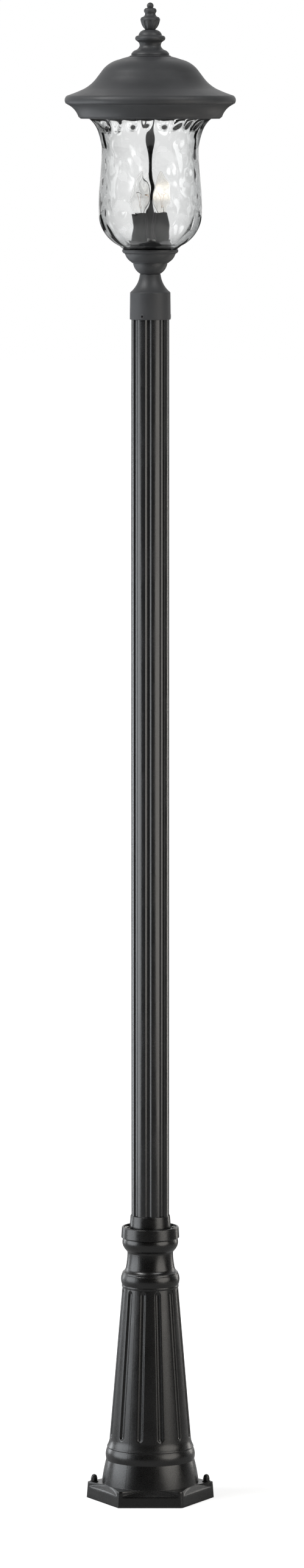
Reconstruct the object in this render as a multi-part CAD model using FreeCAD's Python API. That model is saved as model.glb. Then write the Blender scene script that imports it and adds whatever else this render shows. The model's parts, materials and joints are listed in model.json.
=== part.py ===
import FreeCAD, Part
import math
import os

# A post lantern: one lantern head with a cluster of three candle lamps, on a fluted post and a cast pedestal.
# Millimetres and degrees, +Z up, the ground at z = 0 on the post's axis, the front towards -Y.
# Every piece is its own file in parts/, in the place where it sits on the assembled lantern.

# ---------------------------------------------------------------- fits and clearances
turning_fit = 0.06         # radial clearance of screwed and turning fits
plain_fit = 0.3            # radial gap round plain pieces that slide over each other
lift_gap = 0.9             # gap between pieces that lift past each other

# ---------------------------------------------------------------- plinth
plinth_corner_r = 129.5    # to the hexagon's corners, at the ground
plinth_draft = 2.5         # the corners lean in by this much at the top
plinth_h = 33.0
plinth_edge_r = 1.5        # rounding of the sharp corners
plinth_blunt_r = 9.0       # rounding of the front right corner
plinth_wall = 8.0
plinth_pocket_h = 15.0     # hollow under the plinth
scoop_drop = 10.0          # how far the scooped bevel reaches down a side face
scoop_end = 6.0            # side face left between a scoop and a corner
anchor_spacing = 228.0     # between the two anchor holes
anchor_hole_d = 10.0
anchor_boss_d = 23.0
vent_hole_d = 4.0          # small hole in the front right pad
vent_hole_out = 105.0      # its distance from the axis

# ---------------------------------------------------------------- pedestal column, upwards
foot_r = 98.5
foot_cone_h = 48.0
foot_neck_r = 89.4
low_bead_h = 24.5
low_bead_r = 91.2
low_lip_h = 2.6
low_cove_h = 16.0
cone_foot_r = 82.6
cone_h = 310.0
cone_top_r = 56.6
collar_lip_h = 5.0
collar_bead_h = 22.0
collar_bead_r = 59.4
collar_ledge_h = 4.0
throat_h = 40.0
waist_r = 46.3
top_bead_h = 30.0
top_bead_r = 56.6
column_top_r = 54.6
pedestal_wall = 7.5
flute_count_low = 12
flute_low_w = 11.0
flute_low_depth = 3.4
flute_low_gap = 3.5        # from the ends of the cone to the flutes' round ends

# ---------------------------------------------------------------- shaft
post_d = 76.2              # 3 inch
post_wall = 3.2
post_height = 2438.4       # 96 inch from the ground to the top of the tube
post_socket = 135.0        # depth of the tube in the pedestal
flute_count = 8
flute_depth = 3.5
flute_angle = 19.0         # width of a flute as seen from the axis
flute_turn = -6.0          # turn of the front flute to the left of the front

# ---------------------------------------------------------------- ring and ferrule
ring_r = 58.8
ring_taper = 1.2
ring_h = 23.0
ring_shoulder_r = 2.2
ring_rim_w = 4.2
ring_recess = 5.0
ring_screw_d = 5.0
ring_screw_head_d = 8.4
ring_screw_head_h = 3.8
ring_screw_grip = 12.0     # thread in the pedestal
ferrule_h = 28.0
ferrule_wall_low = 3.6
ferrule_wall_top = 1.6

# ---------------------------------------------------------------- fitter
fitter_wall = 2.6
fitter_skirt_h = 45.4      # how far it covers the tube
fitter_shoulder_h = 9.6    # from the tube's top to the shoulder
fitter_draft = 0.6
fitter_cone_h = 36.0
fitter_top_r = 20.9
fitter_top_t = 8.0
fitter_ledge_w = 3.0       # ledge that stops the tube
grub_d = 5.0
grub_tip_d = 2.4
grub_up = 6.6              # above the fitter's lower edge
grub_turn = -23.0          # of the first screw, from the front
grub_pad_d = 9.0
grub_pad_proud = 0.5

# ---------------------------------------------------------------- cup
spun_wall = 2.5
bowl_seat_r = 19.5
bowl_h = 22.0
bowl_r = 34.5
dish_h = 27.0
dish_base_r = 36.8
dish_rim_r = 56.0
dish_rim_h = 5.4
dish_rim_t = 1.8
dish_ledge_deep = 10.0     # glass seat below the rim
gasket_t = 4.0
seat_beyond = 2.0          # seat's width beyond the foot of the glass, outwards
seat_within = 1.5          # and inwards

# ---------------------------------------------------------------- stem and cluster
nipple_d = 13.2
nipple_bore_d = 9.0
nut_across = 19.0          # across the flats
nut_h = 6.0
spacer_d = 20.0
pan_r = 41.5
pan_h = 20.0
pan_wall = 1.6
pan_up = 3.0               # pan floor above the foot of the glass
lid_t = 2.0
hickey_r = 9.5
hickey_slot_w = 6.0
rod_d = 10.0
rod_nut_across = 16.0
rod_nut_h = 5.0
rod_into_finial = 20.0
socket_circle_r = 25.5
first_socket_turn = -27.0  # azimuth of the first lampholder, from +X
socket_count = 3
stud_d = 10.0
stud_bore_d = 4.0
stud_nut_across = 14.0
stud_nut_h = 3.0
sleeve_d = 27.0
sleeve_wall = 1.5
sleeve_h = 54.8
socket_body_d = 22.6
socket_top_down = 9.0      # lampholder's top below the sleeve's top
socket_shell_wall = 1.1
socket_floor_up = 29.0     # floor of the lampholder's cavity above the lid
contact_t = 1.2
contact_d = 7.0
lead_d = 2.2
lead_circle_r = 2.7        # the leads' places in the nipple
lead_bend_r = 3.0
block_d = 20.0
block_h = 20.0
block_gap = 22.0           # free lead between nipple and block
block_bite = 8.0           # how far a lead reaches into the block

# ---------------------------------------------------------------- lamps
base_d = 11.7              # candelabra screw base
base_h = 16.0
base_tip_h = 1.6
base_tip_d = 6.0
bulb_d = 34.0
bulb_h = 93.0
bulb_belly_up = 40.0
bulb_wall = 0.8
bulb_floor = 1.2
bulb_neck_d = 11.2
stem_d = 7.0
stem_h = 24.0
filament_up = 45.0
filament_w = 12.0
filament_d = 1.0
support_d = 0.7

# ---------------------------------------------------------------- glass
glass_t = 4.5
glass_hole_r = 44.5
glass_foot_r = 46.2
glass_h = 268.5
glass_low_r = 62.0
glass_low_up = 13.2
glass_belly_r = 103.4
glass_belly_up = 78.0
glass_belly_h = 46.0
glass_waist_r = 97.6
glass_waist_up = 193.0
glass_flare_r = 104.7
glass_flare_up = 241.7
glass_rim_r = 125.4

# ---------------------------------------------------------------- skirt, roof, cap, finial
rim_gasket_t = 2.0
rim_gasket_w = 9.0
skirt_lip_r = 138.4
skirt_lip_h = 4.5
skirt_foot_r = 143.8
skirt_foot_h = 5.0
skirt_h = 29.7
skirt_top_r = 166.0
skirt_wall = 3.0
skirt_seat_in = 14.0       # reach of the seat plate inside the glass's rim
flange_t = 3.0
flange_w = 18.0            # reach of the screw flanges in from the skirt's top
flange_screw_in = 13.5     # the screws' circle, in from the skirt's top
flange_boss_t = 5.0
flange_screw_d = 4.0
flange_head_d = 7.0
flange_head_h = 2.5
roof_wall = 3.0
roof_h = 94.0
roof_overhang = 2.0        # reach of the roof's edge past the skirt's top
roof_bead_h = 16.3
roof_bead_bulge = 3.7
roof_brim_r = 133.3
roof_brim_h = 29.2
roof_hip_r = 105.3
roof_hip_h = 53.7
roof_shoulder_r = 97.8
roof_shoulder_h = 63.5
roof_crown_r = 62.0
roof_crown_h = 88.0
roof_top_r = 44.0
cap_flange_r = 41.2
cap_base_r = 37.6
cap_h = 53.0
cap_waist_r = 21.3
cap_bead_r = 30.1
cap_top_r = 12.0
finial_h = 54.0
finial_foot_r = 9.8
urn_r = 19.5
urn_up = 18.2
urn_bulge = 2.1
finial_neck_r = 10.4
finial_bead_r = 12.9
finial_ball_r = 6.7
gadroon_count = 12
gadroon_w = 7.2
gadroon_depth = 1.3

# ---------------------------------------------------------------- levels, upwards
column_z = [plinth_h]
for moulding_h in (foot_cone_h, low_bead_h, low_lip_h + low_cove_h, cone_h, collar_lip_h, collar_bead_h,
                   collar_ledge_h, throat_h, top_bead_h):
    column_z.append(column_z[-1] + moulding_h)
pedestal_top = column_z[-1]
post_foot = pedestal_top - post_socket
post_r = post_d / 2
ring_top = pedestal_top + ring_h
recess_floor = ring_top - ring_recess
fitter_foot = post_height - fitter_skirt_h
fitter_shoulder = post_height + fitter_shoulder_h
fitter_top = fitter_shoulder + fitter_cone_h
bowl_top = fitter_top + bowl_h
dish_top = bowl_top + dish_h
glass_seat = dish_top - dish_ledge_deep
glass_foot = glass_seat + gasket_t
pan_floor = glass_foot + pan_up
lid_foot = pan_floor + pan_h - lid_t
lid_top = pan_floor + pan_h
hickey_foot = pan_floor + pan_wall
glass_top = glass_foot + glass_h
skirt_seat = glass_top + rim_gasket_t
skirt_foot = skirt_seat - skirt_lip_h
roof_foot = skirt_foot + skirt_h
cap_foot = roof_foot + roof_h
cap_top = cap_foot + cap_h
rod_top = cap_top + rod_into_finial

# ---------------------------------------------------------------- radii that follow
bore_r = post_r + turning_fit * 4
nipple_r = nipple_d / 2
roof_edge_r = skirt_top_r + roof_overhang
flange_r = skirt_top_r - flange_w
flange_screw_r = skirt_top_r - flange_screw_in
nipple_hole_r = nipple_r + turning_fit
rod_r = rod_d / 2
lip_inner_r = glass_rim_r + lift_gap
sleeve_r = sleeve_d / 2
base_r = base_d / 2
shell_bore_r = base_r + turning_fit
socket_top = lid_top + sleeve_h - socket_top_down
socket_floor = lid_top + socket_floor_up
base_foot = socket_floor + contact_t + base_tip_h
bulb_foot = base_foot + base_h - base_tip_h
seat_out_r = glass_foot_r + seat_beyond
seat_in_r = glass_hole_r - seat_within

UP = FreeCAD.Vector(0, 0, 1)
FRONT = -90.0


# ---------------------------------------------------------------- building blocks
def point(radius, z, azimuth=0.0):
    """A point by its radius, height and azimuth from +X."""
    turn = math.radians(azimuth)
    return FreeCAD.Vector(radius * math.cos(turn), radius * math.sin(turn), z)


def leaving_and_arriving(start, end, sag):
    """Directions, in radians, in which an edge leaves its start and reaches its end."""
    way = math.atan2(end[1] - start[1], end[0] - start[0])
    half_sweep = 2 * math.atan2(2 * sag, math.dist(start, end))
    return way - half_sweep, way + half_sweep


def edge(start, end, sag=0.0):
    """A line, or an arc that stands sag mm to the right of the way from start to end, in the XZ plane."""
    a, b = FreeCAD.Vector(start[0], 0, start[1]), FreeCAD.Vector(end[0], 0, end[1])
    if abs(sag) < 1e-6:
        return Part.LineSegment(a, b).toShape()
    along = (b - a).normalize()
    side = FreeCAD.Vector(along.z, 0, -along.x)
    return Part.Arc(a, (a + b) * 0.5 + side * sag, b).toShape()


def split(corner):
    """A corner's place and the sag of the edge that reaches it."""
    return corner[:2], (corner[2] if len(corner) > 2 else 0.0)


def turned(*corners):
    """A solid of revolution about Z: corners (radius, z) or (radius, z, sag), outer side upwards."""
    edges = []
    for i, corner in enumerate(corners):
        start, _ = split(corners[i - 1])
        end, sag = split(corner)
        edges.append(edge(start, end, sag))
    return Part.Face(Part.Wire(edges)).revolve(FreeCAD.Vector(), UP, 360)


def inset(corners, wall):
    """The corners of an outline moved to its left by wall, with the arcs' sags to match."""
    places = [split(c)[0] for c in corners]
    sags = [split(c)[1] for c in corners]
    moved = []
    for i, place in enumerate(places):
        ways = []
        if i > 0:
            ways.append(leaving_and_arriving(places[i - 1], place, sags[i])[1])
        if i + 1 < len(places):
            ways.append(leaving_and_arriving(place, places[i + 1], sags[i + 1])[0])
        bend = (ways[-1] - ways[0] + math.pi) % (2 * math.pi) - math.pi
        way = ways[0] + bend / 2
        step = wall / max(math.cos(bend / 2), 0.7)
        moved.append((place[0] - step * math.sin(way), place[1] + step * math.cos(way)))
    result = [moved[0]]
    for i in range(1, len(moved)):
        share = math.dist(moved[i - 1], moved[i]) / math.dist(places[i - 1], places[i])
        result.append((*moved[i], sags[i] * share))
    return result


def shell_corners(corners, wall):
    """The closed outline of a wall: up the outer side and down the inner side."""
    inner = inset(corners, wall)
    back = [inner[-1][:2]]
    for i in range(len(inner) - 1, 0, -1):
        back.append((*inner[i - 1][:2], -inner[i][2]))
    return [corners[0][:2], *corners[1:], *back]


def rod(radius, z_low, z_high, x=0.0, y=0.0):
    """An upright cylinder."""
    return Part.makeCylinder(radius, z_high - z_low, FreeCAD.Vector(x, y, z_low))


def tube(outer_r, inner_r, z_low, z_high):
    """An upright tube on the axis."""
    return rod(outer_r, z_low, z_high).cut(rod(inner_r, z_low - 1, z_high + 1))


def polygon_prism(sides, across, z_low, z_high, bore_r=0.0):
    """A nut's body on the axis, by its size across the flats."""
    corner_r = across / 2 / math.cos(math.pi / sides)
    wire = Part.makePolygon([point(corner_r, z_low, 360 * i / sides) for i in range(sides + 1)])
    body = Part.Face(wire).extrude(UP * (z_high - z_low))
    if bore_r:
        body = body.cut(rod(bore_r, z_low - 1, z_high + 1))
    return body


def fuse(first, *others):
    """One solid of touching pieces."""
    return first.fuse(list(others)).removeSplitter()


def around(shape, azimuths):
    """Copies of a shape turned about the axis."""
    copies = []
    for azimuth in azimuths:
        copy = shape.copy()
        copy.rotate(FreeCAD.Vector(), UP, azimuth)
        copies.append(copy)
    return copies


def every(count, first=0.0):
    """Evenly spaced azimuths."""
    return [first + 360.0 * i / count for i in range(count)]


def placed(shape, azimuth, radius):
    """A copy of a piece built on the axis, moved out to a lampholder's place."""
    copy = shape.copy()
    copy.translate(point(radius, 0, azimuth))
    return copy


# ---------------------------------------------------------------- plinth and pedestal
def rounded_hexagon(corner_r, z, edge_radii):
    """A hexagon with corners on the X axis, each corner rounded by its own radius."""
    edges, ends = [], []
    for i, radius in enumerate(edge_radii):
        azimuth = 60.0 * i
        corner = point(corner_r, z, azimuth)
        run = radius * math.tan(math.radians(30))
        before = corner + (point(corner_r, z, azimuth - 60) - corner).normalize() * run
        after = corner + (point(corner_r, z, azimuth + 60) - corner).normalize() * run
        middle = point(corner_r - radius * (1 / math.cos(math.radians(30)) - 1), z, azimuth)
        edges.append(Part.Arc(before, middle, after).toShape())
        ends.append((before, after))
    sides = [Part.LineSegment(ends[i - 1][1], ends[i][0]).toShape() for i in range(len(ends))]
    return Part.Wire([e for pair in zip(sides, edges) for e in pair])


def plinth_block():
    """The hexagonal foot with its draft, before it is hollowed."""
    radii = [plinth_edge_r] * 5 + [plinth_blunt_r]
    low = rounded_hexagon(plinth_corner_r, 0, radii)
    high = rounded_hexagon(plinth_corner_r - plinth_draft, plinth_h, radii)
    return Part.makeLoft([low, high], True, True)


def plinth_pocket():
    """The hollow under the plinth, which leaves a boss round each anchor hole."""
    radii = [plinth_edge_r] * 6
    inner_corner_r = plinth_corner_r - plinth_wall / math.cos(math.radians(30))
    pocket = Part.Face(rounded_hexagon(inner_corner_r, -1, radii)).extrude(UP * (plinth_pocket_h + 1))
    for side in (-1, 1):
        pocket = pocket.cut(rod(anchor_boss_d / 2, -2, plinth_h, side * anchor_spacing / 2))
    return pocket


def scoop():
    """The cutter of one scooped bevel, over the side that faces +X: an arch in plan with a sloping floor."""
    side_x = (plinth_corner_r - plinth_draft) * math.cos(math.radians(30))
    half = (plinth_corner_r - plinth_draft) / 2 - scoop_end
    deep_x = foot_r + plain_fit
    beyond = side_x + scoop_drop
    low, high = plinth_h - 2 * scoop_drop, plinth_h + 5
    plan = ((side_x, -half), (beyond, -half), (beyond, half), (side_x, half))
    corners = [FreeCAD.Vector(x, y, low) for x, y in plan]
    edges = [Part.LineSegment(a, b).toShape() for a, b in zip(corners, corners[1:])]
    edges.append(Part.Arc(corners[3], FreeCAD.Vector(deep_x, 0, low), corners[0]).toShape())
    arch = Part.Face(Part.Wire(edges)).extrude(UP * (high - low))
    slope = scoop_drop / (side_x - deep_x)
    outline = [(deep_x, plinth_h), (beyond, plinth_h - slope * (beyond - deep_x)), (beyond, high),
               (deep_x - 1, high), (deep_x - 1, plinth_h + slope), (deep_x, plinth_h)]
    wedge = Part.Face(Part.makePolygon([FreeCAD.Vector(x, -half, z) for x, z in outline]))
    return arch.common(wedge.extrude(FreeCAD.Vector(0, 2 * half, 0)))


def column():
    """The pedestal's turned column on the plinth, solid."""
    z = column_z
    lip_top = z[2] + low_lip_h
    low_lip_r = cone_foot_r + 5.0
    low_bead_sag = low_bead_r - (foot_neck_r + low_lip_r) / 2
    collar_lip_r = cone_top_r + 1.0
    collar_sag = collar_bead_r - collar_lip_r
    throat_r = (waist_r + cone_top_r) / 2 - 2.4
    return turned(
        (0, 0), (foot_r, 0), (foot_r, z[0]), (foot_neck_r, z[1], 0.8),
        (low_lip_r - 0.6, z[2], low_bead_sag), (low_lip_r + 0.4, z[2] + 1.0), (low_lip_r, lip_top),
        (cone_foot_r, z[3], -0.9), (cone_top_r, z[4]),
        (collar_lip_r, z[4] + 1.2), (collar_lip_r, z[5] - 1.0), (collar_lip_r - 0.5, z[5]),
        (collar_lip_r - 0.3, z[6], collar_sag + 0.4), (cone_top_r, z[6] + 0.8), (cone_top_r - 0.5, z[7]),
        (throat_r, z[7] + 0.28 * throat_h, -1.6), (waist_r, z[8], -0.7),
        (waist_r + 1.2, z[8] + 0.1 * top_bead_h), (column_top_r, z[8] + 0.42 * top_bead_h, 0.6),
        (column_top_r - 0.2, z[9], top_bead_r - column_top_r), (0, z[9]))


def pedestal_hollow():
    """The column's hollow: open underneath, then the socket of the tube."""
    z = column_z
    seat_r = post_r - post_wall - flute_depth
    cone_in = (cone_foot_r - cone_top_r) / cone_h
    top_z = post_foot - pedestal_wall
    top_r = cone_top_r + (z[4] - top_z) * cone_in - pedestal_wall - flute_low_depth
    return turned(
        (0, -1), (foot_r - 1.4 * pedestal_wall, -1), (foot_r - 1.4 * pedestal_wall, plinth_pocket_h),
        (foot_neck_r - pedestal_wall, z[1]), (foot_neck_r - pedestal_wall, z[2] - 4),
        (cone_foot_r - pedestal_wall - flute_low_depth, z[3]), (top_r, top_z),
        (seat_r, top_z), (seat_r, post_foot), (bore_r, post_foot), (bore_r, pedestal_top + 1),
        (0, pedestal_top + 1))


def low_flute():
    """The cutter of one round-ended flute in the pedestal's cone, at azimuth 0."""
    radius = (flute_low_w ** 2 / 4 + flute_low_depth ** 2) / (2 * flute_low_depth)
    foot, top = point(cone_foot_r, column_z[3]), point(cone_top_r, column_z[4])
    along = (top - foot).normalize()
    outward = FreeCAD.Vector(along.z, 0, -along.x)
    end_gap = flute_low_gap + flute_low_w / 2
    start = foot + along * end_gap + outward * (radius - flute_low_depth)
    length = (top - foot).Length - 2 * end_gap
    straight = Part.makeCylinder(radius, length, start, along)
    ends = [Part.makeSphere(radius, start), Part.makeSphere(radius, start + along * length)]
    return straight.fuse(ends)


def base_pedestal():
    """The cast pedestal: plinth, column, flutes, scoops, anchor holes and the hollow inside."""
    body = fuse(plinth_block(), column())
    cutters = around(low_flute(), every(flute_count_low, 180.0 / flute_count_low))
    cutters += around(scoop(), every(6, 30.0))
    cutters += [plinth_pocket(), pedestal_hollow()]
    cutters += [rod(anchor_hole_d / 2, -1, plinth_h + 1, side * anchor_spacing / 2) for side in (-1, 1)]
    vent = point(vent_hole_out, 0, -60.0)
    cutters.append(rod(vent_hole_d / 2, -1, plinth_h + 1, vent.x, vent.y))
    for side in (-1, 1):
        depth = pedestal_top - ring_screw_grip - 1
        across = ring_screw_d / 2 + turning_fit
        cutters.append(rod(across, depth, pedestal_top + 1, side * ring_screw_place()))
    return body.cut(cutters)


# ---------------------------------------------------------------- anchor hardware
anchor_thread_r = 3.4
washer_r = 8.6
washer_t = 1.6
cap_nut_across = 13.0
cap_nut_hex_h = 6.5
cap_nut_dome_r = 5.9
cap_nut_h = 13.4


def anchor_washer():
    """A plain washer on the anchor hole at +X."""
    ring = tube(washer_r, anchor_thread_r + 0.9, plinth_h, plinth_h + washer_t)
    return placed(ring, 0, anchor_spacing / 2)


def anchor_cap_nut():
    """A domed nut with a blind thread for the foundation's anchor bolt, at +X."""
    foot = plinth_h + washer_t
    hexagon = polygon_prism(6, cap_nut_across, foot, foot + cap_nut_hex_h)
    neck_z = foot + cap_nut_h - cap_nut_dome_r
    dome = turned((0, foot), (cap_nut_dome_r, foot), (cap_nut_dome_r, neck_z),
                  (0, foot + cap_nut_h, cap_nut_dome_r * (1 - math.cos(math.pi / 4))))
    nut = fuse(hexagon, dome).cut(rod(anchor_thread_r, foot - 1, foot + cap_nut_h - 2.2))
    return placed(nut, 0, anchor_spacing / 2)


# ---------------------------------------------------------------- shaft, ring, ferrule
def flute_circle():
    """Radius of a shaft flute and its centre's distance from the axis, from the flute's depth and angle."""
    floor_r = post_r - flute_depth
    reach = post_r * math.cos(math.radians(flute_angle / 2))
    radius = (post_r ** 2 + floor_r ** 2 - 2 * floor_r * reach) / (2 * (reach - floor_r))
    return radius, floor_r + radius


def post_r_at(azimuth):
    """The shaft's outer radius at an azimuth, land or flute."""
    radius, centre = flute_circle()
    pitch = 360.0 / flute_count
    off = (azimuth - FRONT - flute_turn + pitch / 2) % pitch - pitch / 2
    if abs(off) >= flute_angle / 2:
        return post_r
    off = math.radians(off)
    return centre * math.cos(off) - math.sqrt(radius ** 2 - (centre * math.sin(off)) ** 2)


def post_shaft():
    """The extruded fluted tube: its wall follows each flute."""
    radius, centre = flute_circle()
    azimuths = every(flute_count, FRONT + flute_turn)
    outer = rod(post_r, post_foot, post_height)
    inner = rod(post_r - post_wall, post_foot - 1, post_height + 1)
    grooves, ribs = [], []
    for azimuth in azimuths:
        place = point(centre, 0, azimuth)
        grooves.append(rod(radius, post_foot - 1, post_height + 1, place.x, place.y))
        ribs.append(rod(radius + post_wall, post_foot - 2, post_height + 2, place.x, place.y))
    return outer.cut(grooves).cut(inner.cut(ribs))


def ring_screw_place():
    """Distance of the ring's screws from the axis, midway between ferrule and ring rim."""
    return (bore_r + ferrule_wall_low + ring_r - ring_taper - ring_rim_w) / 2


def base_ring():
    """The flat-topped ring on the pedestal, recessed on top."""
    rim_r = ring_r - ring_taper
    recess_r = rim_r - ring_rim_w
    ring = turned(
        (bore_r, pedestal_top), (ring_r - 1.0, pedestal_top), (ring_r, pedestal_top + 1.0),
        (rim_r, ring_top - ring_shoulder_r),
        (rim_r - ring_shoulder_r, ring_top, ring_shoulder_r * (math.sqrt(2) - 1) / math.sqrt(2)),
        (recess_r, ring_top), (recess_r, recess_floor), (bore_r, recess_floor))
    hole = rod(ring_screw_d / 2 + turning_fit, pedestal_top - 1, ring_top, ring_screw_place())
    return ring.cut(around(hole, (0, 180)))


def ring_screw():
    """A socket-head screw through the ring into the pedestal, at +X."""
    head_r = ring_screw_head_d / 2
    shank = rod(ring_screw_d / 2, pedestal_top - ring_screw_grip, recess_floor)
    top = recess_floor + ring_screw_head_h
    head = turned((0, recess_floor), (head_r, recess_floor), (head_r, top - 0.6),
                  (head_r - 0.6, top), (0, top))
    key = polygon_prism(6, head_r, top - 2.2, top + 1)
    return placed(fuse(shank, head).cut(key), 0, ring_screw_place())


def ferrule():
    """The tapered sleeve round the tube, standing on the ring's recess."""
    top = recess_floor + ferrule_h
    return turned((bore_r, recess_floor), (bore_r + ferrule_wall_low, recess_floor),
                  (bore_r + ferrule_wall_top, top - 0.6), (bore_r + ferrule_wall_top - 0.6, top),
                  (bore_r, top))


# ---------------------------------------------------------------- fitter
def fitter_r():
    """Outer radius of the fitter's skirt at its lower edge."""
    return bore_r + fitter_wall


def grub_azimuths():
    """Where the set screws stand."""
    return every(3, FRONT + grub_turn)


def fitter():
    """The cap over the top of the tube: plain skirt, shoulder, concave cone."""
    shoulder_r = fitter_r() - fitter_draft
    ledge_r = bore_r - fitter_ledge_w
    body = turned(
        (bore_r, fitter_foot), (fitter_r() - 0.8, fitter_foot), (fitter_r(), fitter_foot + 0.8),
        (shoulder_r, fitter_shoulder - 1.0), (shoulder_r - 0.8, fitter_shoulder),
        (fitter_top_r, fitter_top - 1.0, -3.9), (fitter_top_r - 1.0, fitter_top),
        (nipple_hole_r, fitter_top), (nipple_hole_r, fitter_top - fitter_top_t),
        (nut_across / 2 + 2.5, fitter_top - fitter_top_t), (ledge_r, fitter_shoulder - 2),
        (ledge_r, post_height), (bore_r, post_height))
    grub_z = fitter_foot + grub_up
    pad = Part.makeCylinder(grub_pad_d / 2, fitter_wall / 2 + grub_pad_proud,
                            FreeCAD.Vector(fitter_r() - fitter_wall / 2, 0, grub_z), FreeCAD.Vector(1, 0, 0))
    hole = Part.makeCylinder(grub_d / 2 + turning_fit, fitter_wall + 8,
                             FreeCAD.Vector(bore_r - 2, 0, grub_z), FreeCAD.Vector(1, 0, 0))
    return fuse(body, *around(pad, grub_azimuths())).cut(around(hole, grub_azimuths()))


def grub_screws():
    """The fitter's cone-point set screws, each up to the tube's land or flute."""
    screws = []
    for azimuth in grub_azimuths():
        tip = max(post_r_at(azimuth + off) for off in (-2, 0, 2)) + 0.1
        cone = (grub_d - grub_tip_d) / 2
        back = fitter_r() - 0.2
        body = turned((0, tip), (grub_tip_d / 2, tip), (grub_d / 2, tip + cone),
                      (grub_d / 2, back), (0, back))
        screw = body.cut(polygon_prism(6, grub_d / 2, back - 1.6, back + 1))
        screw.rotate(FreeCAD.Vector(), FreeCAD.Vector(0, 1, 0), 90)
        screw.translate(UP * (fitter_foot + grub_up))
        screws += around(screw, [azimuth])
    return screws


# ---------------------------------------------------------------- cup
def cup_bowl():
    """The half-round cup on the fitter."""
    side = [(bowl_seat_r, fitter_top), (bowl_r, bowl_top, 3.2)]
    wall = turned(*shell_corners(side, spun_wall))
    floor = tube(bowl_seat_r, nipple_hole_r, fitter_top, fitter_top + spun_wall)
    lid = tube(bowl_r - 0.5, bowl_r - 2 * spun_wall, bowl_top - spun_wall, bowl_top)
    return fuse(wall, floor, lid).common(rod(bowl_r + 1, fitter_top, bowl_top))


def cup_dish():
    """The wide dish with a plain rim and a recessed seat for the glass."""
    rim_foot = dish_top - dish_rim_h
    rim_in = dish_rim_r - dish_rim_t
    return turned(
        (nipple_hole_r, bowl_top), (dish_base_r, bowl_top), (dish_base_r, bowl_top + 1.0),
        (dish_rim_r - 5.4, rim_foot - 3.4, 2.2), (dish_rim_r - 3.6, rim_foot - 2.4),
        (dish_rim_r - 0.6, rim_foot, 0.3),
        (dish_rim_r, rim_foot + 1.5), (dish_rim_r, dish_top - 0.6), (dish_rim_r - 0.6, dish_top),
        (rim_in, dish_top), (rim_in, dish_top - 2), (seat_out_r, glass_seat + 3), (seat_out_r, glass_seat),
        (seat_in_r, glass_seat), (dish_base_r - 1.5 * spun_wall, bowl_top + spun_wall, -1.5),
        (nipple_hole_r, bowl_top + spun_wall))


def glass_gasket():
    """The rubber ring between the dish's seat and the foot of the glass."""
    return tube(seat_out_r - plain_fit, seat_in_r + plain_fit, glass_seat, glass_foot)


# ---------------------------------------------------------------- stem and cluster
def nut(across, height, z_low, bore_r):
    """A hexagon nut on the axis."""
    return polygon_prism(6, across, z_low, z_low + height, bore_r + turning_fit)


def nipple_ends():
    """Lower and upper end of the threaded tube."""
    return fitter_top - fitter_top_t - nut_h - 2, hickey_foot + nut_h + 1


def wire_nipple():
    """The hollow threaded tube that clamps fitter, bowl, dish, spacer and pan."""
    low, high = nipple_ends()
    return tube(nipple_r, nipple_bore_d / 2, low, high)


def pan_spacer():
    """The tube between dish and pan."""
    return tube(spacer_d / 2, nipple_hole_r, bowl_top + spun_wall, pan_floor)


def cluster_pan():
    """The shallow pan under the lampholders."""
    return turned((nipple_hole_r, pan_floor), (pan_r - 2, pan_floor), (pan_r, pan_floor + 2, 0.6),
                  (pan_r, lid_foot), (pan_r - pan_wall, lid_foot), (pan_r - pan_wall, pan_floor + pan_wall),
                  (nipple_hole_r, pan_floor + pan_wall))


def socket_azimuths():
    """Where the lampholders stand."""
    return every(socket_count, first_socket_turn)


def cluster_lid():
    """The round plate that carries the lampholders."""
    plate = turned((rod_r + turning_fit, lid_foot), (pan_r, lid_foot), (pan_r, lid_top - 0.8),
                   (pan_r - 0.8, lid_top), (rod_r + turning_fit, lid_top))
    hole = placed(rod(stud_d / 2 + turning_fit, lid_foot - 1, lid_top + 1), 0, socket_circle_r)
    return plate.cut(around(hole, socket_azimuths()))


def rod_hickey():
    """The open coupling between nipple and rod: two collars and three legs, with a window for each lead."""
    low, high = hickey_foot + nut_h, lid_foot
    collar = 3.0
    body = rod(hickey_r, low, high)
    window = Part.makeBox(2 * hickey_r, hickey_slot_w, high - low - 2 * collar,
                          FreeCAD.Vector(0, -hickey_slot_w / 2, low + collar))
    core = rod(nipple_bore_d / 2 + 1.5, low + collar, high - collar)
    lower_bore = rod(nipple_hole_r, low - 1, low + 1 + turning_fit)
    lower_way = rod(nipple_bore_d / 2, low - 1, low + collar + 1)
    upper_bore = rod(rod_r + turning_fit, high - collar - 1, high + 1)
    return body.cut([core, lower_bore, lower_way, upper_bore, *around(window, socket_azimuths())])


def centre_rod():
    """The rod from the coupling up into the finial."""
    foot = lid_foot - 3.0
    return turned((0, foot), (rod_r, foot), (rod_r, rod_top - 1.0), (rod_r - 1.0, rod_top), (0, rod_top))


def stud():
    """A hollow threaded stud through the lid, built on the axis."""
    return tube(stud_d / 2, stud_bore_d / 2, lid_foot - stud_nut_h - 0.5, lid_top + 8)


def candle_sleeve():
    """The sleeve round a lampholder, built on the axis."""
    top = lid_top + sleeve_h
    inner_r = sleeve_r - sleeve_wall
    return turned((inner_r, lid_top), (sleeve_r, lid_top), (sleeve_r, top - 0.5), (sleeve_r - 0.5, top),
                  (inner_r, top))


def socket_body():
    """The lampholder's insulator: stud hole below, lead way, cavity for the screw shell above."""
    shell_r = shell_bore_r + socket_shell_wall
    body = rod(socket_body_d / 2, lid_top, socket_top)
    return body.cut([rod(stud_d / 2 + turning_fit, lid_top - 1, lid_top + 8),
                     rod(stud_bore_d / 2, lid_top, socket_floor + 1),
                     rod(shell_r, socket_floor, socket_top + 1)])


def socket_shell():
    """The lampholder's screw shell."""
    return tube(shell_bore_r + socket_shell_wall, shell_bore_r, socket_floor, socket_top)


def socket_contact():
    """The contact disc on the floor of the lampholder."""
    return rod(contact_d / 2, socket_floor, socket_floor + contact_t)


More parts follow.
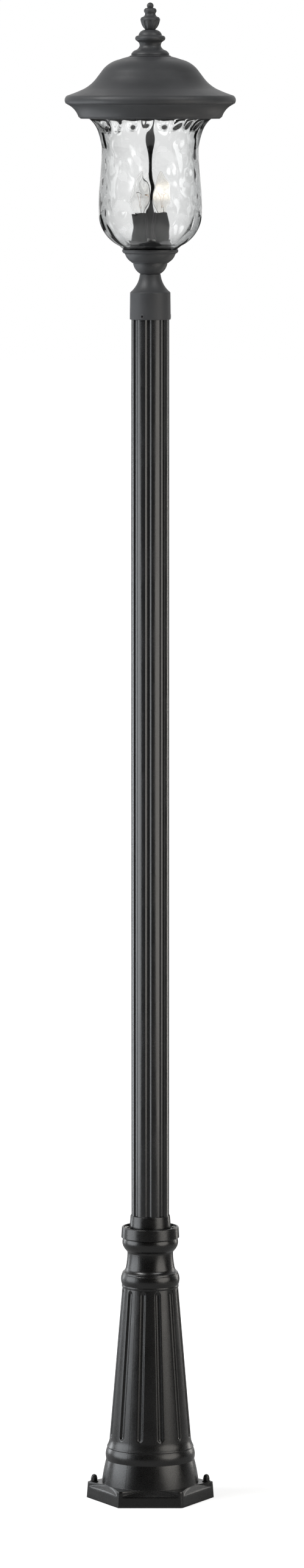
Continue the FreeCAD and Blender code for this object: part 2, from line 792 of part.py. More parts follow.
def lead_path(azimuth):
    """One lead: up the nipple, out through the coupling's window, up the lampholder's stud."""
    low = nipple_ends()[0] - block_gap - block_bite
    level = (hickey_foot + nut_h + lid_foot) / 2
    inner, outer, r = lead_circle_r, socket_circle_r, lead_bend_r
    slant = r * (1 - math.sqrt(0.5))
    turn_up = point(inner + slant, level - slant, azimuth)
    turn_out = point(outer - slant, level + slant, azimuth)
    rise = point(outer, level + r, azimuth)
    edges = [Part.LineSegment(point(inner, low, azimuth), point(inner, level - r, azimuth)).toShape(),
             Part.Arc(point(inner, level - r, azimuth), turn_up, point(inner + r, level, azimuth)).toShape(),
             Part.LineSegment(point(inner + r, level, azimuth), point(outer - r, level, azimuth)).toShape(),
             Part.Arc(point(outer - r, level, azimuth), turn_out, rise).toShape(),
             Part.LineSegment(rise, point(outer, socket_floor, azimuth)).toShape()]
    return Part.Wire(edges)


def socket_lead(azimuth):
    """A lead's solid: a tube of the lead's diameter along its path."""
    path = lead_path(azimuth)
    foot = path.Edges[0].Vertexes[0].Point
    ring = Part.Wire(Part.makeCircle(lead_d / 2, foot, UP))
    return path.makePipeShell([ring], True, False)


def socket_nut():
    """The nut under the lid on a lampholder's stud."""
    return nut(stud_nut_across, stud_nut_h, lid_foot - stud_nut_h, stud_d / 2)


def terminal_block():
    """The block in the fitter where the leads meet the supply cable's cores."""
    top = nipple_ends()[0] - block_gap
    body = turned((0, top - block_h), (block_d / 2 - 1, top - block_h), (block_d / 2, top - block_h + 1),
                  (block_d / 2, top - 1), (block_d / 2 - 1, top), (0, top))
    ways = [placed(rod(lead_d / 2 + turning_fit, top - block_bite, top + 1), a, lead_circle_r)
            for a in socket_azimuths()]
    foot = top - block_h
    cable_ways = [placed(rod(lead_d / 2 + 0.4, foot - 1, foot + block_bite), a, 2 * lead_circle_r)
                  for a in socket_azimuths()]
    return body.cut(ways + cable_ways)


# ---------------------------------------------------------------- lamps, built on the axis
def bulb_base():
    """The lamp's screw shell."""
    return tube(base_r, base_r - 0.5, base_foot, bulb_foot)


def bulb_contact():
    """The insulator that closes the screw shell, with the solder tip under it."""
    tip_r = base_tip_d / 2
    tip = base_foot - base_tip_h
    return turned((0, tip), (tip_r - 1, tip), (tip_r, base_foot - base_tip_h / 2),
                  (base_r - 0.5 - turning_fit, base_foot), (base_r - 0.5 - turning_fit, base_foot + 2),
                  (0, base_foot + 2))


def bulb_outline():
    """Outer side of the torpedo lamp's glass."""
    r = bulb_d / 2
    return [(bulb_neck_d / 2, bulb_foot), (bulb_neck_d / 2 + 1.2, bulb_foot + 0.06 * bulb_h),
            (r, bulb_foot + bulb_belly_up, 2.6), (0.47 * r, bulb_foot + 0.84 * bulb_h, 2.6),
            (0.08 * r, bulb_foot + bulb_h, 0.4)]


def bulb_glass():
    """The lamp's glass, closed at the foot where its stem is sealed in."""
    outer = bulb_outline()
    inner = inset(outer, bulb_wall)
    floor_z = bulb_foot + bulb_floor
    full = turned((0, bulb_foot), *outer, (0, bulb_foot + bulb_h))
    return full.cut(turned((0, floor_z), (inner[0][0], floor_z), *inner[1:], (0, inner[-1][1])))


def bulb_mount():
    """Inside the lamp: the glass stem, two supports and the filament between them."""
    stem_top = bulb_foot + stem_h
    floor_z = bulb_foot + bulb_floor
    stem = turned((0, floor_z), (stem_d / 2, floor_z), (stem_d / 2 - 0.8, stem_top - 4, -0.4),
                  (stem_d / 2 - 1.6, stem_top), (0, stem_top))
    wires = []
    filament_z = bulb_foot + filament_up
    for side in (-1, 1):
        start = FreeCAD.Vector(side * 1.2, 0, stem_top - 2)
        end = FreeCAD.Vector(side * filament_w / 2, 0, filament_z)
        wires.append(Part.makeCylinder(support_d / 2, (end - start).Length + 0.5, start, end - start))
    filament = Part.makeCylinder(filament_d / 2, filament_w, FreeCAD.Vector(-filament_w / 2, 0, filament_z),
                                 FreeCAD.Vector(1, 0, 0))
    return fuse(stem, *wires, filament)


# ---------------------------------------------------------------- glass shade
def glass_shade():
    """The bell of clear glass: rounded foot, belly, waist, flared rim, cut flat at both ends."""
    outer = [(glass_foot_r, glass_foot), (glass_low_r, glass_foot + glass_low_up),
             (glass_belly_r, glass_foot + glass_belly_up, 11.0),
             (glass_belly_r - 0.8, glass_foot + glass_belly_up + glass_belly_h, 0.8),
             (glass_waist_r, glass_foot + glass_waist_up, -0.6),
             (glass_flare_r, glass_foot + glass_flare_up, -2.4), (glass_rim_r, glass_top, -1.5)]
    wall = turned(*shell_corners(outer, glass_t))
    ends = [rod(glass_hole_r, glass_foot - 20, glass_foot + 40),
            rod(glass_rim_r + 20, glass_top, glass_top + 40),
            rod(glass_rim_r, glass_foot - 20, glass_foot)]
    return wall.cut(ends)


# ---------------------------------------------------------------- skirt, roof, cap, finial
def rim_gasket():
    """The rubber ring between the glass's rim and the skirt's seat."""
    return tube(glass_rim_r, glass_rim_r - rim_gasket_w, glass_top, skirt_seat)


def flange_screw_azimuths():
    """Where the screws between skirt and roof stand."""
    return every(3, 90.0)


def roof_skirt():
    """The cove-shaped ring under the roof, with the glass's seat inside."""
    seat_in = glass_rim_r - skirt_seat_in
    body = turned(
        (lip_inner_r, skirt_foot), (skirt_lip_r, skirt_foot), (skirt_lip_r + 2.2, skirt_foot + 2.0, 0.3),
        (skirt_foot_r, skirt_foot + skirt_foot_h, 0.5), (skirt_top_r, roof_foot - 1.0, -3.4),
        (skirt_top_r, roof_foot), (flange_r, roof_foot), (flange_r, roof_foot - flange_t),
        (skirt_top_r - 2 * skirt_wall, roof_foot - flange_t),
        (skirt_foot_r - skirt_wall, skirt_seat + skirt_wall, 2.4), (seat_in, skirt_seat + skirt_wall),
        (seat_in, skirt_seat), (lip_inner_r, skirt_seat))
    hole = rod(flange_screw_d / 2 + turning_fit, roof_foot - flange_t - 1, roof_foot + 1, flange_screw_r)
    return body.cut(around(hole, flange_screw_azimuths()))


def skirt_screw():
    """A pan-head screw up through the skirt's flange into the roof's, at azimuth 0."""
    under = roof_foot - flange_t
    low = under - flange_head_h
    head_r = flange_head_d / 2
    shank = rod(flange_screw_d / 2, under, roof_foot + flange_boss_t - 0.5)
    head = turned((0, low), (head_r - 1, low), (head_r, low + 1), (head_r, under), (0, under))
    slot = Part.makeBox(flange_head_d + 2, 1.0, 1.2, FreeCAD.Vector(-head_r - 1, -0.5, low - 0.2))
    return placed(fuse(shank, head.cut(slot)), 0, flange_screw_r)


def roof():
    """The bell-shaped roof with a rolled rim, and the flange inside that the skirt is screwed to."""
    z = roof_foot
    outer = [(roof_edge_r, z), (roof_edge_r - 2, z + roof_bead_h, roof_bead_bulge),
             (roof_brim_r, z + roof_brim_h, -0.5), (roof_hip_r, z + roof_hip_h, -2.3),
             (roof_shoulder_r, z + roof_shoulder_h), (roof_crown_r, z + roof_crown_h, 4.2),
             (roof_top_r, z + roof_h - 0.6, 0.3)]
    wall = turned(*shell_corners(outer, roof_wall))
    crown = tube(roof_top_r + 1, rod_r + plain_fit, z + roof_h - roof_wall - 0.6, z + roof_h)
    flange = tube(roof_edge_r - 1, flange_r, z, z + flange_boss_t)
    hole = rod(flange_screw_d / 2 + turning_fit, z - 1, z + flange_boss_t + 1, flange_screw_r)
    return fuse(wall, crown, flange).cut(around(hole, flange_screw_azimuths()))


def roof_cap():
    """The turned cap on the roof."""
    z, bore = cap_foot, rod_r + plain_fit
    bead_z = z + 0.69 * cap_h
    return turned(
        (bore, z), (cap_flange_r, z), (cap_flange_r, z + 1.4), (cap_base_r, z + 2.2),
        (cap_base_r - 2.2, z + 0.16 * cap_h, 1.0), (cap_base_r - 7.1, z + 0.23 * cap_h, 0.4),
        (cap_waist_r, z + 0.39 * cap_h, -1.6), (cap_waist_r + 2.5, z + 0.54 * cap_h, -0.9),
        (cap_bead_r - 1.5, z + 0.605 * cap_h), (cap_bead_r - 2.9, bead_z + 0.08 * cap_h, 2.2),
        (cap_waist_r + 2, bead_z + 0.1 * cap_h), (cap_top_r + 5.5, z + cap_h - 2.5, 1.2),
        (cap_top_r, z + cap_h, 0.3), (bore, z + cap_h))


def gadroon():
    """The cutter of one hollow in the urn's side, at azimuth 0: a round bar bent along the urn's outline."""
    low, high = (finial_foot_r, cap_top), (urn_r, cap_top + urn_up)
    chord = math.dist(low, high)
    arc_r = (chord ** 2 / 4 + urn_bulge ** 2) / (2 * urn_bulge)
    along = ((high[0] - low[0]) / chord, (high[1] - low[1]) / chord)
    middle = ((low[0] + high[0]) / 2, (low[1] + high[1]) / 2)
    inward = arc_r - urn_bulge
    centre = FreeCAD.Vector(middle[0] - along[1] * inward, 0, middle[1] + along[0] * inward)
    bar_r = (gadroon_w ** 2 / 4 + gadroon_depth ** 2) / (2 * gadroon_depth)
    reach = arc_r + bar_r - gadroon_depth
    start_turn = math.atan2(low[1] - centre.z, low[0] - centre.x) + math.radians(14)
    end_turn = math.atan2(high[1] - centre.z, high[0] - centre.x) + math.radians(1)
    start = centre + FreeCAD.Vector(math.cos(start_turn), 0, math.sin(start_turn)) * reach
    end = centre + FreeCAD.Vector(math.cos(end_turn), 0, math.sin(end_turn)) * reach
    radial = (start - centre).normalize()
    tangent = FreeCAD.Vector(-radial.z, 0, radial.x)
    disc = Part.Face(Part.Wire(Part.makeCircle(bar_r, start, tangent)))
    bar = disc.revolve(centre, FreeCAD.Vector(0, -1, 0), math.degrees(end_turn - start_turn))
    return bar.fuse(Part.makeSphere(bar_r, end))


def finial():
    """The screwed-on finial: gadrooned urn, neck, bead and ball, with a blind thread for the rod."""
    z = cap_top
    neck_z = z + 0.565 * finial_h
    ball_z = z + finial_h - finial_ball_r
    ball_foot_r = 0.83 * finial_ball_r
    ball_foot = ball_z - math.sqrt(finial_ball_r ** 2 - ball_foot_r ** 2)
    half_chord = math.hypot(ball_foot_r, z + finial_h - ball_foot) / 2
    ball_sag = finial_ball_r - math.sqrt(finial_ball_r ** 2 - half_chord ** 2)
    body = turned(
        (0, z), (finial_foot_r, z), (urn_r, z + urn_up, urn_bulge), (urn_r - 2.9, z + urn_up + 6.8, 1.2),
        (finial_neck_r, neck_z, -1.2), (finial_neck_r + 0.2, neck_z + 2.5),
        (finial_bead_r - 3.1, ball_foot - 1.1, 2.4), (ball_foot_r, ball_foot), (0, z + finial_h, ball_sag))
    thread = rod(rod_r + turning_fit, z - 1, rod_top + 1)
    return body.cut(around(gadroon(), every(gadroon_count, FRONT))).cut(thread)


# ---------------------------------------------------------------- assembly
def pieces():
    """Every node's name with its solid or its group of solids."""
    parts = {
        "base_pedestal": base_pedestal(),
        "anchor_washers": around(anchor_washer(), (0, 180)),
        "anchor_cap_nuts": around(anchor_cap_nut(), (0, 180)),
        "base_ring": base_ring(),
        "ring_screws": around(ring_screw(), (0, 180)),
        "ferrule": ferrule(),
        "post_shaft": post_shaft(),
        "fitter": fitter(),
        "fitter_set_screws": grub_screws(),
        "cup_bowl": cup_bowl(),
        "cup_dish": cup_dish(),
        "glass_gasket": glass_gasket(),
        "wire_nipple": wire_nipple(),
        "fitter_lock_nut": nut(nut_across, nut_h, fitter_top - fitter_top_t - nut_h, nipple_r),
        "pan_lock_nut": nut(nut_across, nut_h, hickey_foot, nipple_r),
        "pan_spacer": pan_spacer(),
        "cluster_pan": cluster_pan(),
        "cluster_lid": cluster_lid(),
        "rod_hickey": rod_hickey(),
        "rod_nut": nut(rod_nut_across, rod_nut_h, lid_top, rod_r),
        "centre_rod": centre_rod(),
        "socket_studs": [placed(stud(), a, socket_circle_r) for a in socket_azimuths()],
        "socket_nuts": [placed(socket_nut(), a, socket_circle_r) for a in socket_azimuths()],
        "socket_leads": [socket_lead(a) for a in socket_azimuths()],
        "terminal_block": terminal_block(),
        "glass_shade": glass_shade(),
        "rim_gasket": rim_gasket(),
        "roof_skirt": roof_skirt(),
        "skirt_screws": around(skirt_screw(), flange_screw_azimuths()),
        "roof": roof(),
        "roof_cap": roof_cap(),
        "finial": finial(),
    }
    lamp_pieces = {"candle_sleeve": candle_sleeve, "socket_body": socket_body, "socket_shell": socket_shell,
                   "socket_contact": socket_contact, "bulb_base": bulb_base, "bulb_contact": bulb_contact,
                   "bulb_glass": bulb_glass, "bulb_mount": bulb_mount}
    for name, make in lamp_pieces.items():
        shape = make()
        for number, azimuth in enumerate(socket_azimuths(), 1):
            parts[f"{name}_{number}"] = placed(shape, azimuth, socket_circle_r)
    return parts


os.makedirs("parts", exist_ok=True)
for name, made in pieces().items():
    solids = made if isinstance(made, list) else [made]
    solids = [solid for group in solids for solid in group.Solids]
    shape = solids[0] if len(solids) == 1 else Part.makeCompound(solids)
    if not shape.isValid():
        print("not valid:", name)
    print(f"{name}: {len(solids)} solid(s), {shape.Volume / 1000:.1f} cm3")
    shape.exportStep(f"parts/{name}.step")
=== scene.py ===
"""Looks of a post lantern: coats, hammered glass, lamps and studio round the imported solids.

Sizes are written in millimetres, heights above the ground and azimuths in degrees from +X,
and meshes are in metres.
"""
import json
import logging
import math
from collections.abc import Callable
from dataclasses import dataclass, field
from enum import Enum

import bmesh
import bpy
import numpy as np
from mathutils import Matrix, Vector

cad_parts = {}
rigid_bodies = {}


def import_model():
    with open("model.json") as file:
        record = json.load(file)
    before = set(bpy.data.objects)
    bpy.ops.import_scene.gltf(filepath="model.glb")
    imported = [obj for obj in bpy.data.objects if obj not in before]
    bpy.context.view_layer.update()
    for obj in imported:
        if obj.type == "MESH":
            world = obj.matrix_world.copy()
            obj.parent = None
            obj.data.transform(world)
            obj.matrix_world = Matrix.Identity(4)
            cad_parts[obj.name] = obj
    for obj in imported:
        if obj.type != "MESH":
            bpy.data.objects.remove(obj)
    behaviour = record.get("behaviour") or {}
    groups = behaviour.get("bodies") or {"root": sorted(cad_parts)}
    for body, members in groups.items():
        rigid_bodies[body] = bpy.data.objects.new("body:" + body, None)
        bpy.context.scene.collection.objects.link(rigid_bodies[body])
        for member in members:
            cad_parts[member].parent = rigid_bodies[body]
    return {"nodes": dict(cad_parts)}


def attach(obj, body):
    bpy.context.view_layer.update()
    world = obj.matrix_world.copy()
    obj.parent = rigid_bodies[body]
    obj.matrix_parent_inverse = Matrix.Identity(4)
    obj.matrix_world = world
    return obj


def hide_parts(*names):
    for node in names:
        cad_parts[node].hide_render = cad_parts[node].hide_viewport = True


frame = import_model()
log = logging.getLogger("post_lantern")
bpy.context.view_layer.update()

MM = 0.001
FRONT = -90.0  # azimuth of the side that faces the camera
Array = np.ndarray
Relief = Callable[[Array, Array, Array], Array]


class Ride(Enum):
    """The bodies that pieces move with."""

    POST = "post"
    GLASS = "glass"
    ROOF = "roof"
    FINIAL = "finial"
    LAMP_1 = "bulb_1"
    LAMP_2 = "bulb_2"
    LAMP_3 = "bulb_3"


class Slot(Enum):
    """The record's material slots, passed with each new piece but not used by it."""

    POST_COAT = "post_coat"
    HEAD_COAT = "head_coat"
    CLEAR_GLASS = "clear_glass"
    LAMP_GLASS = "lamp_glass"
    ZINC = "zinc_steel"
    BRASS = "brass"
    SLEEVE = "sleeve_plastic"


class Wave(Enum):
    """Cross-section of a screw thread."""

    SHARP = "sharp"
    ROLLED = "rolled"


# ---------------------------------------------------------------------------------------------- outlines
def bowed_edge(start: Array, end: Array, bow: float, step: float, ease: float) -> Array:
    """Points of one edge, close together at its ends so that the corner there stays a small round.

    A straight edge is start + share * (end - start). A bowed one is an arc through both ends that stands
    `bow` mm to the right of the way at its middle.

    Args:
        start: First corner (radius, height).
        end: Second corner.
        bow: Height of the arc, 0 for a straight edge.
        step: Largest distance between points.
        ease: Distance that the first and last point keep from the corners.

    Returns:
        Points (n, 2).
    """
    chord = float(np.linalg.norm(end - start))
    near = min(ease / chord, 0.2)
    count = max(3, math.ceil(chord / step) + 1)
    share = np.unique(np.concatenate([np.linspace(near, 1 - near, count), [2 * near, 1 - 2 * near]]))
    along = (end - start) / chord
    if abs(bow) < 1e-6:
        return start + along * (share * chord)[:, None]
    side = np.array([along[1], -along[0]])
    half = 2 * math.atan2(2 * bow, chord)
    radius = chord / 2 / math.sin(half)
    turn = half * (2 * share - 1)
    return (start + along * (chord / 2 + radius * np.sin(turn))[:, None]
            + side * (radius * (np.cos(turn) - math.cos(half)))[:, None])


@dataclass(frozen=True)
class Outline:
    """Side of a turned piece: corners (radius, height[, bow of the edge that reaches it]),
    outer side upwards."""

    corners: tuple[tuple[float, ...], ...]
    base: float = 0.0
    closed: bool = True
    step: float = 2.0
    ease: float = 0.3

    def points(self) -> Array:
        """The outline's points (n, 2), edge after edge.

        Returns:
            Radius and height of each point.
        """
        corners = list(self.corners)
        pairs = list(zip(corners, corners[1:]))
        if self.closed:
            pairs.append((corners[-1], corners[0]))
        made = []
        for start, end in pairs:
            bow = end[2] if len(end) > 2 else 0.0
            made.append(bowed_edge(np.array(start[:2], float), np.array(end[:2], float), bow, self.step,
                                   self.ease))
        points = np.concatenate(made)
        if not self.closed:
            points = np.concatenate([[corners[0][:2]], points, [corners[-1][:2]]])
        return points + [0.0, self.base]


def walled(corners: tuple[tuple[float, ...], ...], wall: float) -> tuple[tuple[float, ...], ...]:
    """Corners of a spun or blown wall: up the outer side and down the inner one, `wall` mm to its left.

    Each inner corner lies on the bisector of its two edges, and each inner arc keeps the share of bow to chord.

    Args:
        corners: The outer side, upwards.
        wall: Thickness.

    Returns:
        The closed outline's corners.
    """
    places = [np.array(c[:2], float) for c in corners]
    bows = [c[2] if len(c) > 2 else 0.0 for c in corners]
    inner = []
    for i, place in enumerate(places):
        ways = []
        for a, b, sign in ((i - 1, i, 1), (i, i + 1, -1)):
            if a >= 0 and b < len(places):
                run = places[b] - places[a]
                swing = 2 * math.atan2(2 * bows[b], np.linalg.norm(run))
                ways.append(math.atan2(run[1], run[0]) + sign * swing)
        bend = (ways[-1] - ways[0] + math.pi) % (2 * math.pi) - math.pi
        way = ways[0] + bend / 2
        reach = wall / max(math.cos(bend / 2), 0.7)
        inner.append(place + reach * np.array([-math.sin(way), math.cos(way)]))
    back = [tuple(inner[-1])]
    for i in range(len(inner) - 1, 0, -1):
        share = np.linalg.norm(inner[i] - inner[i - 1]) / np.linalg.norm(places[i] - places[i - 1])
        back.append((*inner[i - 1], -bows[i] * share))
    return (corners[0][:2], *corners[1:], *back)


# ---------------------------------------------------------------------------------------------- surfaces
def grid_faces(rows: int, columns: int, close_rows: bool, close_columns: bool) -> Array:
    """Quads of a grid whose point number is row * columns + column, facing along column x row.

    Args:
        rows: Number of rows.
        columns: Number of columns.
        close_rows: Whether the last row joins the first.
        close_columns: Whether the last column joins the first.

    Returns:
        Quads (n, 4).
    """
    row = np.arange(rows if close_rows else rows - 1)
    column = np.arange(columns if close_columns else columns - 1)
    i, j = np.meshgrid(row, column, indexing="ij")
    up, on = (i + 1) % rows, (j + 1) % columns
    corners = [i * columns + j, i * columns + on, up * columns + on, up * columns + j]
    return np.stack(corners, -1).reshape(-1, 4)


def round_the_axis(radius: Array, height: Array, azimuth: Array) -> Array:
    """Points (rows * columns, 3) from radius, height and azimuth, which broadcast to rows x columns.

    Args:
        radius: Radii in mm.
        height: Heights in mm.
        azimuth: Azimuths in degrees.

    Returns:
        The points, row after row.
    """
    radius, height, azimuth = np.broadcast_arrays(radius, height, azimuth)
    turn = np.radians(azimuth)
    return np.stack([radius * np.cos(turn), radius * np.sin(turn), height], -1).reshape(-1, 3)


def turned_surface(outline: Outline, columns: int, relief: Relief | None = None,
                   azimuth: Array | None = None) -> tuple[Array, Array]:
    """Surface of revolution: each outline point goes round the axis, moved out by the relief there.

    Args:
        outline: The piece's side.
        columns: Number of azimuths, evenly spaced unless they are given.
        relief: Function of (azimuth, radius, height) that gives the radial offset in mm.
        azimuth: Azimuths, one row or a row for each outline point.

    Returns:
        Points in mm and quads.
    """
    points = outline.points()
    if azimuth is None:
        azimuth = np.linspace(0, 360, columns, endpoint=False)[None, :]
    radius, height = points[:, :1], points[:, 1:]
    if relief is not None:
        radius = radius + relief(azimuth, radius, height)
    rows, columns = len(points), azimuth.shape[1]
    return round_the_axis(radius, height, azimuth), grid_faces(rows, columns, outline.closed, True)


def swept_surface(path: Array, radius: Array | float, sides: int = 12) -> tuple[Array, Array]:
    """Round bar along a path: a circle of the given radius stands square to the way at each point.

    The circle's first axis is the way x a fixed direction, so that it doesn't twist, and both
    ends close in a point.

    Args:
        path: Points (n, 3).
        radius: The bar's radius, one for all or one for each point.
        sides: Points of the circle.

    Returns:
        Points in mm and quads.
    """
    way = np.gradient(path, axis=0)
    way /= np.linalg.norm(way, axis=1, keepdims=True)
    fixed = np.array([0.0, 1.0, 0.0]) if abs(way[:, 1]).max() < 0.9 else np.array([1.0, 0.0, 0.0])
    first = np.cross(way, fixed)
    first /= np.linalg.norm(first, axis=1, keepdims=True)
    second = np.cross(way, first)
    radius = np.broadcast_to(np.asarray(radius, float), (len(path),)).copy()
    path = np.concatenate([path[:1], path, path[-1:]])
    first, second = (np.concatenate([v[:1], v, v[-1:]]) for v in (first, second))
    radius = np.concatenate([[0.0], radius, [0.0]])[:, None, None]
    turn = np.linspace(0, 2 * math.pi, sides, endpoint=False)[None, :, None]
    points = path[:, None] + radius * (np.cos(turn) * first[:, None] + np.sin(turn) * second[:, None])
    return points.reshape(-1, 3), grid_faces(len(path), sides, False, True)


def moved(points: Array, azimuth: float, radius: float, height: float = 0.0) -> Array:
    """Points that were built on the axis, taken out to an azimuth and radius."""
    turn = math.radians(azimuth)
    return points + [radius * math.cos(turn), radius * math.sin(turn), height]


# ---------------------------------------------------------------------------------------------- finishes
class Nodes:
    """The node tree of a material, or of the world, built one node at a time."""

    def __init__(self, name: str, world: bpy.types.World | None = None) -> None:
        """Starts an empty tree with a shader and an output.

        Args:
            name: The material's name.
            world: The world, where the tree isn't a material's.
        """
        self.material = world or bpy.data.materials.new(name)
        self.material.use_nodes = True
        self.tree = self.material.node_tree
        self.tree.nodes.clear()
        self.output = self.tree.nodes.new("ShaderNodeOutputWorld" if world else "ShaderNodeOutputMaterial")
        self.shader = self.tree.nodes.new("ShaderNodeBackground" if world else "ShaderNodeBsdfPrincipled")
        if world:
            self.shader.inputs["Color"].default_value = (1.0, 1.0, 1.0, 1.0)
        self.tree.links.new(self.shader.outputs[0], self.output.inputs["Surface"])

    def add(self, kind: str, inputs: dict[str | int, object] | None = None,
            **settings: object) -> bpy.types.Node:
        """Adds a node.

        Args:
            kind: The node's type without its first word.
            inputs: Values or sockets for its inputs.
            **settings: The node's own properties.

        Returns:
            The node.
        """
        node = self.tree.nodes.new("ShaderNode" + kind)
        for key, value in settings.items():
            setattr(node, key, value)
        for key, value in (inputs or {}).items():
            self.put(node, key, value)
        return node

    def put(self, node: bpy.types.Node, key: str | int, value: object) -> None:
        """Sets an input to a value, or links it to a socket.

        Args:
            node: The node.
            key: The input's name or number.
            value: The value or the socket.
        """
        if isinstance(value, bpy.types.NodeSocket):
            self.tree.links.new(value, node.inputs[key])
        else:
            node.inputs[key].default_value = value

    def shade(self, **inputs: object) -> None:
        """Sets the shader's inputs, whose names are written with _ for a space."""
        for key, value in inputs.items():
            self.put(self.shader, key.replace("_", " "), value)

    def place(self) -> bpy.types.NodeSocket:
        """The point in metres, in the piece's own frame."""
        return self.add("TexCoord").outputs["Object"]

    def noise(self, size_mm: float, detail: float = 2.0, stretch: tuple[float, float, float] = (1, 1, 1),
              rough: float = 0.5) -> bpy.types.NodeSocket:
        """Noise from 0 to 1 whose blobs are size_mm wide, drawn out along an axis where stretch is under 1.

        Args:
            size_mm: Width of a blob.
            detail: Number of finer layers.
            stretch: Factor on each axis.
            rough: Strength of the finer layers.

        Returns:
            The noise's socket.
        """
        scaled = self.add("VectorMath", {0: self.place(), 1: stretch}, operation="MULTIPLY").outputs[0]
        return self.add("TexNoise", {"Vector": scaled, "Scale": 1 / (size_mm * MM), "Detail": detail,
                                     "Roughness": rough}).outputs["Fac"]

    def ramp(self, value: bpy.types.NodeSocket, low: float, high: float, bottom: float = 0.0,
             top: float = 1.0, smooth: bool = True) -> bpy.types.NodeSocket:
        """Maps low..high to bottom..top, held at both ends."""
        return self.add("MapRange", {0: value, 1: low, 2: high, 3: bottom, 4: top},
                        interpolation_type="SMOOTHSTEP" if smooth else "LINEAR").outputs[0]

    def mix(self, share: object, low: tuple[float, ...] | bpy.types.NodeSocket,
            high: tuple[float, ...] | bpy.types.NodeSocket) -> bpy.types.NodeSocket:
        """Mixes two colours.

        Args:
            share: Share of the second colour.
            low: The first colour.
            high: The second colour.

        Returns:
            The mixed colour's socket.
        """
        node = self.add("Mix", data_type="RGBA")
        self.put(node, 0, share)
        self.put(node, 6, low)
        self.put(node, 7, high)
        return node.outputs[2]

    def maths(self, operation: str, a: object, b: object = 0.0) -> bpy.types.NodeSocket:
        """A Math node on two numbers or sockets."""
        return self.add("Math", {0: a, 1: b}, operation=operation).outputs[0]

    def bump(self, height: bpy.types.NodeSocket, depth_mm: float, strength: float = 1.0,
             before: bpy.types.NodeSocket | None = None) -> bpy.types.NodeSocket:
        """A normal from a height of 0 to 1 that stands depth_mm tall.

        Args:
            height: Socket of the height.
            depth_mm: What a height of 1 stands for.
            strength: Share of the full effect.
            before: A normal that this one is laid over.

        Returns:
            The normal's socket.
        """
        inputs = {"Height": height, "Distance": depth_mm * MM, "Strength": strength}
        if before is not None:
            inputs["Normal"] = before
        return self.add("Bump", inputs).outputs["Normal"]


def rgb(colour: tuple[float, float, float]) -> tuple[float, float, float, float]:
    """A colour with full alpha."""
    return (*colour, 1.0)


@dataclass(frozen=True)
class SandCoat:
    """Powder coat with a fine sand texture, its colour and grain."""

    name: str
    colour: tuple[float, float, float]
    speck_and_edge_highlight: tuple[float, float, float]
    grain_mm: float = 0.9
    grain_depth: float = 0.10
    roughness: float = 0.5
    specular: float = 0.5
    dusty: float = 0.25

    def material(self) -> bpy.types.Material:
        """Grain as bump and as light speckles, broad clouds in tone and gloss, and a painted highlight:
        a paler tone on sharp edges.

        Returns:
            The material.
        """
        n = Nodes(self.name)
        grain = n.noise(self.grain_mm, 3.0, rough=0.65)
        pits = n.noise(self.grain_mm * 3.2, 2.0)
        clouds = n.noise(60.0, 3.0)
        runs = n.noise(26.0, 2.0, stretch=(1.0, 1.0, 0.18))
        speck = n.ramp(grain, 0.56, 0.74)
        tone = n.mix(n.ramp(clouds, 0.3, 0.7), rgb(self.colour), rgb(tuple(1.22 * c for c in self.colour)))
        tone = n.mix(n.maths("MULTIPLY", speck, 0.55), tone, rgb(self.speck_and_edge_highlight))
        tone = n.mix(n.maths("MULTIPLY", n.ramp(runs, 0.55, 0.75), self.dusty), tone,
                     rgb(tuple(1.35 * c + 0.004 for c in self.colour)))
        # painted highlight: sharp edges are mixed towards the pale speck colour
        edge = n.add("NewGeometry").outputs["Pointiness"]
        tone = n.mix(n.ramp(edge, 0.53, 0.62, 0.0, 0.5), tone, rgb(self.speck_and_edge_highlight))
        gloss = n.maths("ADD", n.ramp(clouds, 0.25, 0.75, -0.05, 0.05), n.ramp(grain, 0.3, 0.7, -0.06, 0.1))
        normal = n.bump(pits, self.grain_depth * 1.4, 0.6)
        normal = n.bump(grain, self.grain_depth, 1.0, normal)
        n.shade(Base_Color=tone, Roughness=n.maths("ADD", gloss, self.roughness), Normal=normal,
                IOR=1.5, Specular_IOR_Level=self.specular)
        return n.material


@dataclass(frozen=True)
class BlownGlass:
    """Clear glass: a faint tint, with painted shade that darkens it where the wall is seen on edge."""

    name: str
    tint: tuple[float, float, float]
    painted_edge_shade: tuple[float, float, float]
    edge_from: float = 0.55
    edge_to: float = 0.97
    streak_depth: float = 0.05
    roughness: float = 0.0

    def material(self) -> bpy.types.Material:
        """Transmission with soft cords and seeds in the glass as bump, and painted shade that darkens
        the colour towards grazing view.

        Returns:
            The material.
        """
        n = Nodes(self.name)
        facing = n.add("LayerWeight", {"Blend": 0.5}).outputs["Facing"]
        cords = n.noise(16.0, 1.5, stretch=(1.0, 1.0, 0.3))
        seeds = n.ramp(n.noise(2.4, 0.0), 0.76, 0.84)
        normal = n.bump(cords, self.streak_depth, 0.8)
        normal = n.bump(seeds, 0.05, 0.5, normal)
        # painted shade: the colour darkens towards the edge colour where the wall is seen on edge
        n.shade(Base_Color=n.mix(n.ramp(facing, self.edge_from, self.edge_to), rgb(self.tint),
                                 rgb(self.painted_edge_shade)),
                Roughness=self.roughness, IOR=1.5, Transmission_Weight=1.0, Normal=normal)
        return n.material


